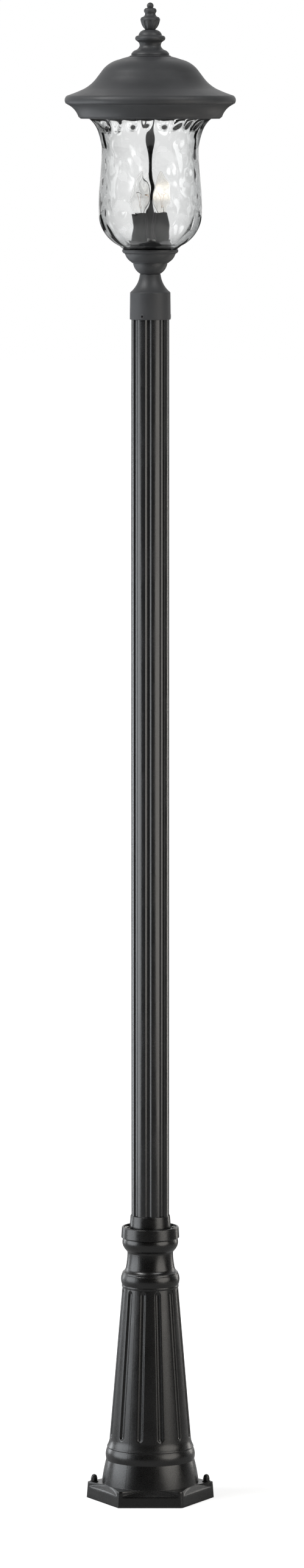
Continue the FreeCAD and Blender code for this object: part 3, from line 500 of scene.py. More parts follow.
@dataclass(frozen=True)
class LitGlass:
    """Lamp glass round a burning filament: clear, with a warm glow that fades away from the filament."""

    name: str
    centre: tuple[float, float, float]
    core: tuple[float, float, float]
    rim: tuple[float, float, float]
    inner_mm: float = 16.6
    reach_mm: float = 23.0
    strength: float = 0.19

    def material(self) -> bpy.types.Material:
        """Emission falls off with distance from the filament, broken by soft swirls, over clear glass.

        Returns:
            The material.
        """
        n = Nodes(self.name)
        away = n.add("VectorMath", {0: n.place(), 1: tuple(MM * c for c in self.centre)}, operation="SUBTRACT")
        away = n.add("VectorMath", {0: away.outputs[0], 1: (1.0, 1.0, 0.85)}, operation="MULTIPLY").outputs[0]
        distance = n.add("VectorMath", {0: away}, operation="LENGTH").outputs["Value"]
        swirl = n.noise(6.0, 3.0)
        distance = n.maths("ADD", distance, n.maths("MULTIPLY", n.maths("SUBTRACT", swirl, 0.5), 0.006))
        glow = n.ramp(distance, self.inner_mm * MM, self.reach_mm * MM, 1.0, 0.0)
        glow = n.maths("MULTIPLY", glow, n.ramp(swirl, 0.42, 0.58, 0.40, 1.0))
        colour = n.mix(n.ramp(distance, self.inner_mm * MM, self.reach_mm * MM), rgb(self.core), rgb(self.rim))
        n.shade(Base_Color=(0.98, 0.97, 0.95, 1), Roughness=0.02, IOR=1.45, Transmission_Weight=1.0,
                Emission_Color=colour, Emission_Strength=n.maths("MULTIPLY", glow, self.strength))
        return n.material


@dataclass(frozen=True)
class Metal:
    """Bare or plated metal with tool marks, tarnish and specks."""

    name: str
    colour: tuple[float, float, float]
    tarnish: tuple[float, float, float]
    roughness: float = 0.32
    marks: tuple[float, float, float] = (1.0, 1.0, 0.08)
    glow: float = 0.0

    def material(self) -> bpy.types.Material:
        """Metal with drawn-out marks in bump and gloss, and tarnish in broad patches.

        Returns:
            The material.
        """
        n = Nodes(self.name)
        marks = n.noise(0.7, 2.0, stretch=self.marks)
        patches = n.noise(7.0, 3.0)
        tone = n.mix(n.ramp(patches, 0.45, 0.75, 0.0, 0.7), rgb(self.colour), rgb(self.tarnish))
        rough = n.maths("ADD", n.ramp(patches, 0.3, 0.8, 0.0, 0.18),
                        n.ramp(marks, 0.3, 0.7, self.roughness - 0.06, self.roughness + 0.06))
        n.shade(Base_Color=tone, Roughness=rough, Metallic=1.0, Normal=n.bump(marks, 0.02))
        if self.glow:
            n.shade(Emission_Color=rgb(self.colour), Emission_Strength=self.glow)
        return n.material


@dataclass(frozen=True)
class Moulded:
    """Moulded plastic, rubber, fired clay or wire insulation."""

    name: str
    colour: tuple[float, float, float]
    pale: tuple[float, float, float]
    roughness: float = 0.45
    grain_mm: float = 0.6
    grain_depth: float = 0.02
    sheen: float = 0.0

    def material(self) -> bpy.types.Material:
        """Fine moulded grain, faint flow clouds and a little gloss variation.

        Returns:
            The material.
        """
        n = Nodes(self.name)
        grain = n.noise(self.grain_mm, 2.0)
        flow = n.noise(14.0, 3.0, stretch=(1.0, 1.0, 0.4))
        rough = n.maths("ADD", n.ramp(flow, 0.3, 0.7, -0.06, 0.06),
                        n.ramp(grain, 0.35, 0.65, self.roughness - 0.04, self.roughness + 0.04))
        n.shade(Base_Color=n.mix(n.ramp(flow, 0.3, 0.75), rgb(self.colour), rgb(self.pale)), Roughness=rough,
                Normal=n.bump(grain, self.grain_depth), Sheen_Weight=self.sheen)
        return n.material


class Finish(Enum):
    """Every finish on the lantern."""

    POST_COAT = SandCoat("post_sand_coat", (0.0035, 0.0034, 0.0033), (0.020, 0.020, 0.019), grain_mm=1.1,
                         grain_depth=0.045, roughness=0.27)
    TUBE_COAT = SandCoat("tube_sand_coat", (0.0125, 0.0127, 0.0132), (0.040, 0.041, 0.042), grain_mm=1.0,
                         grain_depth=0.02, roughness=0.18)
    HEAD_COAT = SandCoat("head_sand_coat", (0.034, 0.035, 0.037), (0.077, 0.079, 0.083), grain_mm=0.8,
                         grain_depth=0.07, roughness=0.50, specular=0.38)
    BELL = BlownGlass("hammered_clear_glass", (0.935, 0.94, 0.94), (0.22, 0.23, 0.23), edge_from=0.08,
                      edge_to=0.90, streak_depth=0.03)
    LAMP = BlownGlass("lamp_clear_glass", (0.985, 0.985, 0.98), (0.5, 0.5, 0.49), edge_from=0.7,
                      streak_depth=0.0)
    ZINC = Metal("zinc_plate", (0.62, 0.62, 0.60), (0.42, 0.42, 0.40), roughness=0.34)
    BLACK_STEEL = Metal("black_oxide_steel", (0.05, 0.05, 0.055), (0.09, 0.07, 0.055), roughness=0.42)
    BRASS = Metal("rolled_brass", (0.78, 0.58, 0.28), (0.52, 0.36, 0.17), roughness=0.28)
    COPPER = Metal("support_wire", (0.80, 0.45, 0.28), (0.55, 0.33, 0.20), roughness=0.25)
    TUNGSTEN = Metal("lit_filament", (1.0, 0.72, 0.38), (1.0, 0.8, 0.5), roughness=0.4, glow=9.0)
    COLD_TUNGSTEN = Metal("cold_filament", (0.35, 0.33, 0.31), (0.25, 0.24, 0.23), roughness=0.45)
    ROD_COAT = SandCoat("rod_black_coat", (0.006, 0.006, 0.0062), (0.018, 0.018, 0.019), grain_mm=0.8,
                        grain_depth=0.03, roughness=0.5, specular=0.3)
    SLEEVE = Moulded("sleeve_coat", (0.006, 0.0062, 0.0066), (0.010, 0.0103, 0.011), roughness=0.55,
                     grain_depth=0.004)
    BLACK_PLASTIC = Moulded("lampholder_phenolic", (0.014, 0.013, 0.013), (0.024, 0.022, 0.021), roughness=0.38)
    INSULATOR = Moulded("base_insulator", (0.018, 0.018, 0.024), (0.03, 0.03, 0.038), roughness=0.16)
    LEADS = Moulded("lead_sleeve", (0.70, 0.69, 0.65), (0.62, 0.61, 0.57), roughness=0.4)
    RUBBER = Moulded("gasket_rubber", (0.014, 0.014, 0.015), (0.026, 0.026, 0.027), roughness=0.75,
                     grain_mm=1.2, grain_depth=0.05, sheen=0.1)

    def material(self) -> bpy.types.Material:
        """The finish's material, made once."""
        return bpy.data.materials.get(self.value.name) or self.value.material()


# ---------------------------------------------------------------------------------------------- pieces
def show(name: str, surface: tuple[Array, Array], finish: Finish, slot: Slot, ride: Ride,
         *replaced: str, bevel_mm: float = 0.0) -> bpy.types.Object:
    """Makes a piece from points in mm and faces.

    Args:
        name: The piece's name.
        surface: Points (n, 3) in mm and faces.
        finish: Its finish.
        slot: The record's material slot that it belongs to; not used.
        ride: The body that it moves with.
        *replaced: The solids that it stands for.
        bevel_mm: Width of a bevel on its sharp edges, 0 for none.

    Returns:
        The piece.
    """
    points, faces = surface
    mesh = bpy.data.meshes.new(name)
    mesh.from_pydata((points * MM).tolist(), [], faces.tolist() if isinstance(faces, Array) else faces)
    welded = bmesh.new()
    welded.from_mesh(mesh)
    bmesh.ops.remove_doubles(welded, verts=welded.verts, dist=1e-6)
    welded.to_mesh(mesh)
    welded.free()
    mesh.polygons.foreach_set("use_smooth", np.ones(len(mesh.polygons), bool))
    mesh.materials.append(finish.material())
    mesh.update()
    piece = bpy.data.objects.new(name, mesh)
    bpy.context.scene.collection.objects.link(piece)
    if bevel_mm:
        bevel = piece.modifiers.new("eased_edges", "BEVEL")
        bevel.width, bevel.segments, bevel.limit_method = bevel_mm * MM, 2, "ANGLE"
        bevel.angle_limit, bevel.harden_normals = math.radians(35), True
    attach(piece, ride.value)
    if replaced:
        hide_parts(*replaced)
    log.info("%s: %d faces, stands for %s", name, len(mesh.polygons), ", ".join(replaced) or "nothing")
    return piece


def joined(surfaces: list[tuple[Array, Array]]) -> tuple[Array, Array]:
    """Several closed surfaces as one.

    Args:
        surfaces: Points and faces of each.

    Returns:
        Points and faces of all.
    """
    points, faces, start = [], [], 0
    for part_points, part_faces in surfaces:
        points.append(part_points)
        faces.append(part_faces + start)
        start += len(part_points)
    return np.concatenate(points), np.concatenate(faces)


def dress(finish: Finish, *nodes: str, bevel_mm: float = 0.0) -> None:
    """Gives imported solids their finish, and eases their sharp edges.

    Args:
        finish: The finish.
        *nodes: The solids' names.
        bevel_mm: Width of the eased edge, 0 for none.
    """
    for node in nodes:
        solid = frame["nodes"][node]
        solid.data.materials.clear()
        solid.data.materials.append(finish.material())
        if bevel_mm:
            weld = solid.modifiers.new("weld", "WELD")
            weld.merge_threshold = 1e-5
            bevel = solid.modifiers.new("eased_edges", "BEVEL")
            bevel.width, bevel.segments, bevel.limit_method = bevel_mm * MM, 2, "ANGLE"
            bevel.angle_limit = math.radians(40)
        log.info("%s: packed solid, %s", node, finish.value.name)


def screw_relief(pitch: float, depth: float, low: float, high: float, wave: Wave) -> Relief:
    """Thread as an offset: the height over the pitch plus the azimuth's share of a turn gives the phase.

    Args:
        pitch: Rise of one turn.
        depth: Height of the crest over the root.
        low: Lower end of the thread.
        high: Upper end.
        wave: Form of the crest.

    Returns:
        The relief, from -depth at the root to 0 at the crest, on outer walls between low and high.
    """
    def relief(azimuth: Array, radius: Array, height: Array) -> Array:
        """The thread's offset at each point, fading out over one turn at either end.

        Args:
            azimuth: Azimuths.
            radius: Radii, which play no part.
            height: Heights.

        Returns:
            Offsets in mm.
        """
        phase = (height / pitch - azimuth / 360.0) % 1.0
        ridge = 1 - np.abs(2 * phase - 1) if wave is Wave.SHARP else 0.5 - 0.5 * np.cos(2 * math.pi * phase)
        inside = np.clip((height - low) / pitch, 0, 1) * np.clip((high - height) / pitch, 0, 1)
        return -depth * (1 - ridge) * inside
    return relief


@dataclass(frozen=True)
class Flutes:
    """A ring of round-ended hollows in a turned side."""

    count: int
    first: float
    width: float
    depth: float
    low: float
    high: float
    flute_columns: int = 15
    land_columns: int = 9

    def azimuths(self, radius: Array) -> Array:
        """Azimuths that follow the flutes' edges: each flute's columns fill its width at that radius,
        and the rest is shared out over the land.

        Args:
            radius: Radius of each row (rows, 1).

        Returns:
            Azimuths (rows, columns).
        """
        pitch = 360.0 / self.count
        half = np.degrees(self.width / 2 / radius)
        share = np.linspace(-0.5, 0.5, self.flute_columns) * 2
        land = np.linspace(0, 1, self.land_columns + 2)[1:-1]
        one = np.concatenate([half * share, half + (pitch - 2 * half) * land], axis=1)
        turns = self.first + pitch * np.arange(self.count)
        return (one[:, None, :] + turns[None, :, None]).reshape(len(one), -1)

    def relief(self, azimuth: Array, radius: Array, height: Array) -> Array:
        """Depth of a ball that rolls down the flute: sqrt(R^2 - across^2 - beyond^2) less its clear height,
        where across is the way from the flute's middle and beyond the way past its end.

        Args:
            azimuth: Azimuths (rows, columns).
            radius: Radii (rows, 1).
            height: Heights (rows, 1).

        Returns:
            Offsets in mm, 0 outside the flutes.
        """
        ball = (self.width ** 2 / 4 + self.depth ** 2) / (2 * self.depth)
        pitch = 360.0 / self.count
        off = (azimuth - self.first + pitch / 2) % pitch - pitch / 2
        across = radius * np.radians(off)
        stop = self.width / 2
        beyond = np.maximum(0, np.maximum(self.low + stop - height, height - self.high + stop))
        under = np.maximum(0, ball ** 2 - across ** 2 - beyond ** 2)
        return -np.maximum(0, np.sqrt(under) - (ball - self.depth))


# ---------------------------------------------------------------------------------------------- pedestal
@dataclass
class Pedestal:
    """The cast foot: hexagonal plinth with scooped bevels, fluted column, mould seam and anchor nuts."""

    corner: float = 129.5
    draft: float = 2.5
    plinth: float = 33.0
    corner_round: float = 1.5
    blunt_round: float = 9.0
    blunt_side: int = 4
    wall: float = 8.0
    scoop_drop: float = 10.0
    scoop_end: float = 6.0
    foot: float = 98.5
    vent: tuple[float, float, float] = (105.0, -60.0, 4.0)
    anchor: float = 114.0
    top: float = 535.1
    flutes: Flutes = Flutes(12, 15.0, 11.0, 3.4, 127.6, 430.6)
    side: tuple[tuple[float, ...], ...] = (
        (98.5, 33.0), (89.4, 81.0, 0.8), (87.0, 105.5, 2.4), (88.0, 106.5), (87.6, 108.1), (82.6, 124.1, -0.9),
        (56.6, 434.1), (57.6, 435.3), (57.6, 438.1), (57.1, 439.1), (57.3, 461.1, 2.2), (56.6, 461.9),
        (56.1, 465.1), (49.05, 476.3, -1.6), (46.3, 505.1, -0.7), (47.5, 508.1), (54.6, 517.7, 0.6),
        (54.4, 535.1, 2.0))
    inside: tuple[tuple[float, ...], ...] = (
        (38.4, 535.1), (38.4, 400.1), (31.4, 400.1), (31.4, 392.6), (49.2, 392.6), (71.7, 124.1), (81.9, 101.5),
        (81.9, 81.0), (88.0, 15.0), (88.0, 14.0))

    def plan(self) -> tuple[Array, Array, Array]:
        """One row of plan points round the plinth, for every column of the casting.

        Each side of the hexagon has its columns at even azimuths of the column above, carried straight out to
        the outline. The outline is the side's line, or near a corner the arc of that corner's round.

        Returns:
            Outline points at the ground (columns, 2), scoop depth (columns,) and outward normals (columns, 2).
        """
        half_side = self.corner / 2
        apothem = self.corner * math.cos(math.radians(30))
        per_side = 2 * (self.flutes.flute_columns + self.flutes.land_columns)
        outline, depth, normals = [], [], []
        mid = (self.corner - self.draft) / 2 - self.scoop_end
        sagitta = (self.corner - self.draft) * math.cos(math.radians(30)) - self.foot - 0.3
        bow = (mid ** 2 + sagitta ** 2) / (2 * sagitta)
        for k in range(6):
            blunt = self.blunt_side + 1
            rounds = [self.blunt_round if (k + e) % 6 == blunt else self.corner_round for e in (0, 1)]
            runs = [r * math.tan(math.radians(30)) for r in rounds]
            arcs = [r * math.radians(30) for r in rounds]
            length = 2 * half_side - runs[0] - runs[1] + arcs[0] + arcs[1]
            at = self.stations(length, arcs, mid, half_side, runs, per_side)
            x = np.full(per_side, apothem)
            y = -half_side + runs[0] + (at - arcs[0])
            tilt = np.zeros(per_side)
            for near, sign in ((at < arcs[0], -1), (at > length - arcs[1], 1)):
                e = 0 if sign < 0 else 1
                turn = (arcs[0] - at if sign < 0 else at - (length - arcs[1])) / rounds[e]
                x = np.where(near, apothem - rounds[e] * (1 - np.cos(turn)), x)
                y = np.where(near, sign * (half_side - runs[e] + rounds[e] * np.sin(turn)), y)
                tilt = np.where(near, sign * turn, tilt)
            within = np.minimum(y ** 2, mid ** 2)
            hollow = np.where(np.abs(y) < mid, np.sqrt(bow ** 2 - within) - (bow - sagitta), 0)
            face = math.radians(30 + 60 * k)
            outline.append(np.stack([x * math.cos(face) - y * math.sin(face),
                                     x * math.sin(face) + y * math.cos(face)], 1))
            normals.append(np.stack([np.cos(face + tilt), np.sin(face + tilt)], 1))
            depth.append(np.maximum(hollow, 0))
        return np.concatenate(outline), np.concatenate(depth), np.concatenate(normals)

    def stations(self, length: float, arcs: list[float], mid: float, half_side: float, runs: list[float],
                 count: int) -> Array:
        """Distances along a side's outline at which columns stand: on the arcs, at both sides of
        the scoop's ends, and evenly between. The first corner's middle belongs to this side and the
        last one's to the next.

        Args:
            length: Way along the outline from the first corner's middle to the last one's.
            arcs: Length of each corner's arc on this side.
            mid: Half of the scoop's width.
            half_side: Half of the side between its sharp corners.
            runs: Way from each sharp corner to the end of its round.
            count: Number of columns.

        Returns:
            Distances (count,), rising.
        """
        shift = arcs[0] - runs[0] + half_side
        ends = [shift - mid, shift + mid]
        beside = [end + way for end in ends for way in (-0.25, 0.25)]
        fixed = np.concatenate([np.linspace(0, arcs[0], 4), beside,
                                np.linspace(length - arcs[1], length, 4)[:3]])
        free = count - len(fixed)
        spread = np.linspace(ends[0], ends[1], free + 2)[1:-1]
        return np.sort(np.concatenate([fixed, spread]))

    def rung(self, start: Array, end: Array, step: float = 4.0, ease: float = 0.45) -> Array:
        """Rows of points from start to end, both (columns, 3), eased near the ends as bowed_edge does.

        Args:
            start: The first row.
            end: The last row.
            step: Largest distance between rows.
            ease: Distance that the outer rows keep from start and end.

        Returns:
            Points (rows, columns, 3).
        """
        run = end - start
        length = np.linalg.norm(run, axis=1, keepdims=True)
        count = max(2, math.ceil(float(length.max()) / step) + 1)
        near = np.minimum(ease / np.maximum(length, 1e-9), 0.3)
        share = np.linspace(0, 1, count)[:, None, None]
        return start + run * (near + share * (1 - 2 * near))

    def casting(self) -> tuple[Array, Array]:
        """One closed surface: underside rim, side faces, scoop floors and walls, pads, column, bore and hollow.

        Every column of the grid goes up the side face, in over the scoop's floor, which rises
        evenly to the foot, up its wall, in over the pad, and then up the turned side, where it
        slides round to follow the flutes.

        Returns:
            Points in mm and quads.
        """
        outline, depth, normals = self.plan()
        low_z, full = self.plinth - self.scoop_drop, np.ones(len(outline))
        sagitta = (self.corner - self.draft) * math.cos(math.radians(30)) - self.foot - 0.3
        slope = self.scoop_drop / sagitta

        def at(inset: Array, z: Array) -> Array:
            """Points of the drafted plan, moved in by the inset at each height.

            Args:
                inset: Each column's way inwards.
                z: Each column's height.

            Returns:
                Points (columns, 3).
            """
            shrink = 1 - self.draft / self.corner * z / self.plinth
            flat = outline * shrink[:, None] - normals * inset[:, None]
            return np.column_stack([flat, z])

        scooped = depth > 0
        ground = at(0 * full, 0 * full)
        under = at(self.wall * full, 0 * full)
        shoulder = at(0 * full, low_z * full)
        floor_end = at(depth, np.where(scooped, low_z + slope * depth, low_z))
        crest = at(np.maximum(depth, 0.01), self.plinth * full)
        turn = np.arctan2(crest[:, 1], crest[:, 0])
        step_in = np.column_stack([self.foot * np.cos(turn), self.foot * np.sin(turn), self.plinth * full])
        edges = (under, ground, shoulder, floor_end, crest, step_in)
        plinth = np.concatenate([self.rung(a, b) for a, b in zip(edges, edges[1:])])
        side = Outline(self.side, closed=False, step=1.9, ease=0.35).points()
        radius, height = side[:, :1], side[:, 1:]
        fluted = np.roll(self.flutes.azimuths(radius), -(self.flutes.flute_columns - 1) // 2, axis=1)
        start = np.degrees(turn)
        start = start + 360 * np.round((fluted[:1] - start) / 360)
        slide = np.clip((height - self.plinth) / 44.0, 0, 1)
        azimuth = start + (fluted - start) * slide ** 2 * (3 - 2 * slide)
        column = round_the_axis(radius + self.flutes.relief(azimuth, radius, height), height, azimuth)
        inner = Outline(self.inside, closed=False, step=30.0, ease=0.3).points()
        last = azimuth[-1:]
        hollow = round_the_axis(inner[:, :1], inner[:, 1:], last)
        columns = len(outline)
        pocket = at(self.wall * full, 14.0 * full)
        points = np.concatenate([plinth.reshape(-1, 3), column, hollow, pocket])
        return points, grid_faces(len(points) // columns, columns, True, True)

    def seam(self, azimuth: float = -121.0, width: float = 1.5, height: float = 0.35) -> tuple[Array, Array]:
        """The mould's parting line: a low round ridge that follows the turned side up a
        land between two flutes.

        Its points are the side's points pushed out by height * cos of the way across, and sunk at both edges.

        Args:
            azimuth: Where it runs.
            width: Its width.
            height: How far it stands out.

        Returns:
            Points in mm and quads.
        """
        side = Outline(self.side[:-1], closed=False, step=3.0, ease=0.5).points()
        way = np.gradient(side, axis=0)
        way /= np.linalg.norm(way, axis=1, keepdims=True)
        out = np.stack([way[:, 1], -way[:, 0]], 1)
        across = np.array([-1.0, -0.5, 0.0, 0.5, 1.0, 0.0])
        lift = np.array([-0.3, 0.25, 0.35, 0.25, -0.3, -0.6]) / 0.35 * height
        wobble = 0.25 * np.sin(side[:, 1] / 37.0)
        radius = side[:, :1] + out[:, :1] * lift
        z = side[:, 1:] + out[:, 1:] * lift
        turn = azimuth + np.degrees((across[None, :] * width / 2 + wobble[:, None]) / side[:, :1])
        return round_the_axis(radius, z, turn), grid_faces(len(side), len(across), False, True)

    def vent_hole_painted_shade(self) -> tuple[Array, Array]:
        """The drilled hole in the front right pad: a shallow dark cup whose lip stands a hair over the pad; its
        dark gasket finish is painted shade for the hole's inside.

        Returns:
            Points in mm and quads.
        """
        out, azimuth, width = self.vent
        cup = Outline(((0.0, 32.9), (width / 2 - 0.5, 32.9), (width / 2, 33.06), (width / 2 + 0.7, 33.0),
                       (width / 2 + 0.7, 32.6), (0.0, 32.6)), closed=False, step=0.4, ease=0.08)
        points, faces = turned_surface(cup, 24)
        return moved(points, azimuth, out), faces

    def cap_nuts(self) -> tuple[Array, Array]:
        """Two domed nuts: a hexagon with a chamfered foot and shoulder, whose radius is the flats' distance
        over the cosine of the way from their middle, and a dome above it.

        Returns:
            Points in mm and quads.
        """
        z = self.plinth + 1.6
        lower = Outline(((3.4, z), (6.0, z), (6.9, z + 0.5), (7.5, z + 1.1), (7.5, z + 5.2), (6.6, z + 6.5),
                         (5.9, z + 6.9), (5.9, z + 7.5), (0.0, z + 13.4, 1.73)), closed=False, step=0.7,
                         ease=0.12)

        def flats(azimuth: Array, radius: Array, height: Array) -> Array:
            """What the six flats take off the turned side."""
            off = np.radians((azimuth + 30) % 60 - 30)
            return np.minimum(radius, 6.5 / np.cos(off)) - radius

        points, faces = turned_surface(lower, 72, flats)
        inner = Outline(((0.0, z + 11.2), (3.4, z + 11.2), (3.4, z)), closed=False, step=2.0, ease=0.2)
        inner_points, inner_faces = turned_surface(inner, 72)
        both = (np.concatenate([inner_points, points]),
                np.concatenate([inner_faces, faces + len(inner_points)]))
        return joined([(both[0] + [x, 0, 0], both[1]) for x in (-self.anchor, self.anchor)])

    def build(self) -> None:
        """Makes the casting, its seam and vent, and the anchor nuts, and dresses the washers."""
        show("pedestal_casting", self.casting(), Finish.POST_COAT, Slot.POST_COAT, Ride.POST, "base_pedestal")
        show("mould_seam", self.seam(), Finish.POST_COAT, Slot.POST_COAT, Ride.POST)
        # painted shade: a shallow dark cup stands for the shade inside the drilled hole
        show("vent_hole_painted_shade", self.vent_hole_painted_shade(), Finish.RUBBER, Slot.POST_COAT, Ride.POST)
        show("anchor_domed_nuts", self.cap_nuts(), Finish.POST_COAT, Slot.ZINC, Ride.POST, "anchor_cap_nuts")
        dress(Finish.POST_COAT, "anchor_washers", bevel_mm=0.25)


# ---------------------------------------------------------------------------------------------- post
@dataclass
class FlutedPost:
    """The extruded tube with its ring and ferrule."""

    radius: float = 38.1
    wall: float = 3.2
    foot: float = 400.1
    top: float = 2438.4
    flutes: int = 8
    flute_depth: float = 3.5
    flute_angle: float = 19.0
    turn: float = -6.0
    ring_foot: float = 535.1
    bore: float = 38.34

    def section(self) -> Array:
        """The tube's outline in plan: a hollow arc for each flute and a round one for each
        land, with eased lips.

        Returns:
            Points (n, 2).
        """
        lip = self.radius * math.cos(math.radians(self.flute_angle / 2))
        land_half = math.radians((360 / self.flutes - self.flute_angle) / 2)
        bows = (-(lip - self.radius + self.flute_depth), self.radius * (1 - math.cos(land_half)))
        made = []
        for k in range(self.flutes):
            middle = FRONT + self.turn + 360 / self.flutes * k
            marks = [middle - self.flute_angle / 2, middle + self.flute_angle / 2,
                     middle - self.flute_angle / 2 + 360 / self.flutes]
            ends = [np.array([self.radius * math.cos(math.radians(m)), self.radius * math.sin(math.radians(m))])
                    for m in marks]
            made += [bowed_edge(a, b, bow, 1.0, 0.28) for a, b, bow in zip(ends, ends[1:], bows)]
        return np.concatenate(made)

    def tube(self) -> tuple[Array, Array]:
        """The tube: its outer section drawn up the post, and the same section drawn in by the wall inside.

        Returns:
            Points in mm and quads.
        """
        section = self.section()
        reach = np.linalg.norm(section, axis=1, keepdims=True)
        inner = section * (reach - self.wall) / reach
        heights = np.concatenate([[self.foot, self.foot + 0.4], np.linspace(self.foot + 80, self.top - 80, 12),
                                  [self.top - 0.4, self.top]])
        rows = [np.column_stack([section, np.full(len(section), z)]) for z in heights]
        rows += [np.column_stack([inner, np.full(len(section), z)]) for z in heights[::-1]]
        return np.concatenate(rows), grid_faces(len(rows), len(section), True, True)

    def ring(self) -> tuple[Array, Array]:
        """The ring on the pedestal: tapered side, round shoulder, raised rim and sunk top.

        Returns:
            Points in mm and quads.
        """
        z = self.ring_foot
        side = Outline(((self.bore, z), (57.8, z), (58.8, z + 1.0), (57.6, z + 20.8), (55.4, z + 23.0, 0.64),
                        (53.4, z + 23.0), (53.4, z + 18.0), (self.bore, z + 18.0)), step=1.5, ease=0.25)
        return turned_surface(side, 192)

    def ferrule(self) -> tuple[Array, Array]:
        """The tapered sleeve round the tube's foot.

        Returns:
            Points in mm and quads.
        """
        z = self.ring_foot + 18.0
        side = Outline(((self.bore, z), (self.bore + 3.6, z), (self.bore + 1.6, z + 27.4),
                        (self.bore + 1.0, z + 28.0), (self.bore, z + 28.0)), step=2.0, ease=0.2)
        return turned_surface(side, 160)

    def build(self) -> None:
        """Makes tube, ring and ferrule, and dresses the ring's screws."""
        show("fluted_tube", self.tube(), Finish.TUBE_COAT, Slot.POST_COAT, Ride.POST, "post_shaft")
        show("pedestal_ring", self.ring(), Finish.POST_COAT, Slot.POST_COAT, Ride.POST, "base_ring")
        show("tube_ferrule", self.ferrule(), Finish.POST_COAT, Slot.POST_COAT, Ride.POST, "ferrule")
        dress(Finish.ZINC, "ring_screws", bevel_mm=0.25)


# ---------------------------------------------------------------------------------------------- fitter and cup
@dataclass
class FitterAndCup:
    """The cap over the post's top with its set screws, and the bowl and dish on it."""

    foot: float = 2393.0
    shoulder: float = 2448.0
    top: float = 2484.0
    radius: float = 40.94
    bore: float = 38.34
    screw_up: float = 6.6
    screws: tuple[float, ...] = (FRONT - 23.0, FRONT + 97.0, FRONT + 217.0)

    def boss(self, azimuth: Array, radius: Array, height: Array) -> Array:
        """Low round pads with a hole in each: 0.45 mm proud within 4.0 mm of a screw and level at 4.8, and
        2.2 mm deep within 2.1 mm of it and level at 2.6.

        Args:
            azimuth: Azimuths (1, columns).
            radius: Radii (rows, 1).
            height: Heights (rows, 1).

        Returns:
            Offsets in mm, 0 on the inner walls.
        """
        total = 0.0
        for screw in self.screws:
            across = self.radius * np.radians((azimuth - screw + 180) % 360 - 180)
            away = np.hypot(across, height - self.foot - self.screw_up)
            pad = 0.45 * np.clip((4.8 - away) / 0.8, 0, 1)
            hole = 2.2 * np.clip((2.6 - away) / 0.5, 0, 1)
            total = total + np.where(radius > self.bore + 1.5, pad - hole, 0.0)
        return total

    def skirt_azimuths(self) -> Array:
        """Azimuths crowded round each screw: even steps of 1.5 degrees, and 0.5 within 8 degrees of a screw.

        Returns:
            Azimuths (1, columns).
        """
        fine = np.concatenate([screw + np.arange(-8, 8, 0.5) for screw in self.screws]) % 360
        even = np.arange(0, 360, 1.5)
        clear = np.ones(len(even), bool)
        for screw in self.screws:
            clear &= np.abs((even - screw + 180) % 360 - 180) > 8.4
        return np.sort(np.concatenate([fine, even[clear]]))[None, :]

    def fitter(self) -> tuple[Array, Array]:
        """Skirt, shoulder, hollow-sided neck, and the socket inside.

        Returns:
            Points in mm and quads.
        """
        z = self.foot
        low = Outline(((self.bore, z), (self.radius - 0.8, z), (self.radius, z + 0.8),
                       (self.radius - 0.1, z + 13.0)), closed=False, step=0.45, ease=0.2).points()
        high = Outline(((self.radius - 0.1, z + 13.0), (self.radius - 0.6, self.shoulder - 1.0),
                        (self.radius - 1.4, self.shoulder), (20.9, self.top - 1.0, -3.9), (19.9, self.top),
                        (6.66, self.top), (6.66, self.top - 8.0), (12.0, self.top - 8.0),
                        (35.3, self.shoulder - 2.0), (35.3, 2438.4), (self.bore, 2438.4), (self.bore, z + 1.0)),
                       closed=False, step=1.6, ease=0.3).points()
        side = np.concatenate([low, high[1:]])
        azimuth = self.skirt_azimuths()
        radius, height = side[:, :1], side[:, 1:]
        points = round_the_axis(radius + self.boss(azimuth, radius, height), height, azimuth)
        return points, grid_faces(len(side), azimuth.shape[1], True, True)

    def bowl(self) -> tuple[Array, Array]:
        """The half-round bowl with its floor and the flange that the dish rests on.

        Returns:
            Points in mm and quads.
        """
        z = self.top
        side = Outline(((6.66, z), (19.5, z), (34.5, z + 22.0, 3.2), (29.5, z + 22.0), (29.5, z + 19.5),
                        (31.9, z + 19.5), (18.3, z + 2.5, -2.6), (6.66, z + 2.5)), step=1.4, ease=0.3)
        return turned_surface(side, 168)

    def dish(self) -> tuple[Array, Array]:
        """The wide dish: round side, step, plain rim, and the seat inside.

        Returns:
            Points in mm and quads.
        """
        z = self.top + 22.0
        side = Outline(((6.66, z), (36.8, z), (36.8, z + 1.0), (50.6, z + 18.2, 2.2), (52.4, z + 19.2),
                        (55.4, z + 21.6, 0.3), (56.0, z + 23.1), (56.0, z + 26.4), (55.4, z + 27.0),
                        (54.2, z + 27.0), (54.2, z + 25.0), (48.2, z + 20.0), (48.2, z + 17.0),
                        (43.0, z + 17.0), (33.05, z + 2.5, -1.5), (6.66, z + 2.5)), step=1.4, ease=0.25)
        return turned_surface(side, 192)

    def build(self) -> None:
        """Makes fitter, bowl and dish, and dresses set screws and gasket."""
        show("post_fitter", self.fitter(), Finish.HEAD_COAT, Slot.HEAD_COAT, Ride.POST, "fitter")
        show("spun_bowl", self.bowl(), Finish.HEAD_COAT, Slot.HEAD_COAT, Ride.POST, "cup_bowl")
        show("spun_dish", self.dish(), Finish.HEAD_COAT, Slot.HEAD_COAT, Ride.POST, "cup_dish")
        dress(Finish.BLACK_STEEL, "fitter_set_screws")
        dress(Finish.RUBBER, "glass_gasket", bevel_mm=0.4)


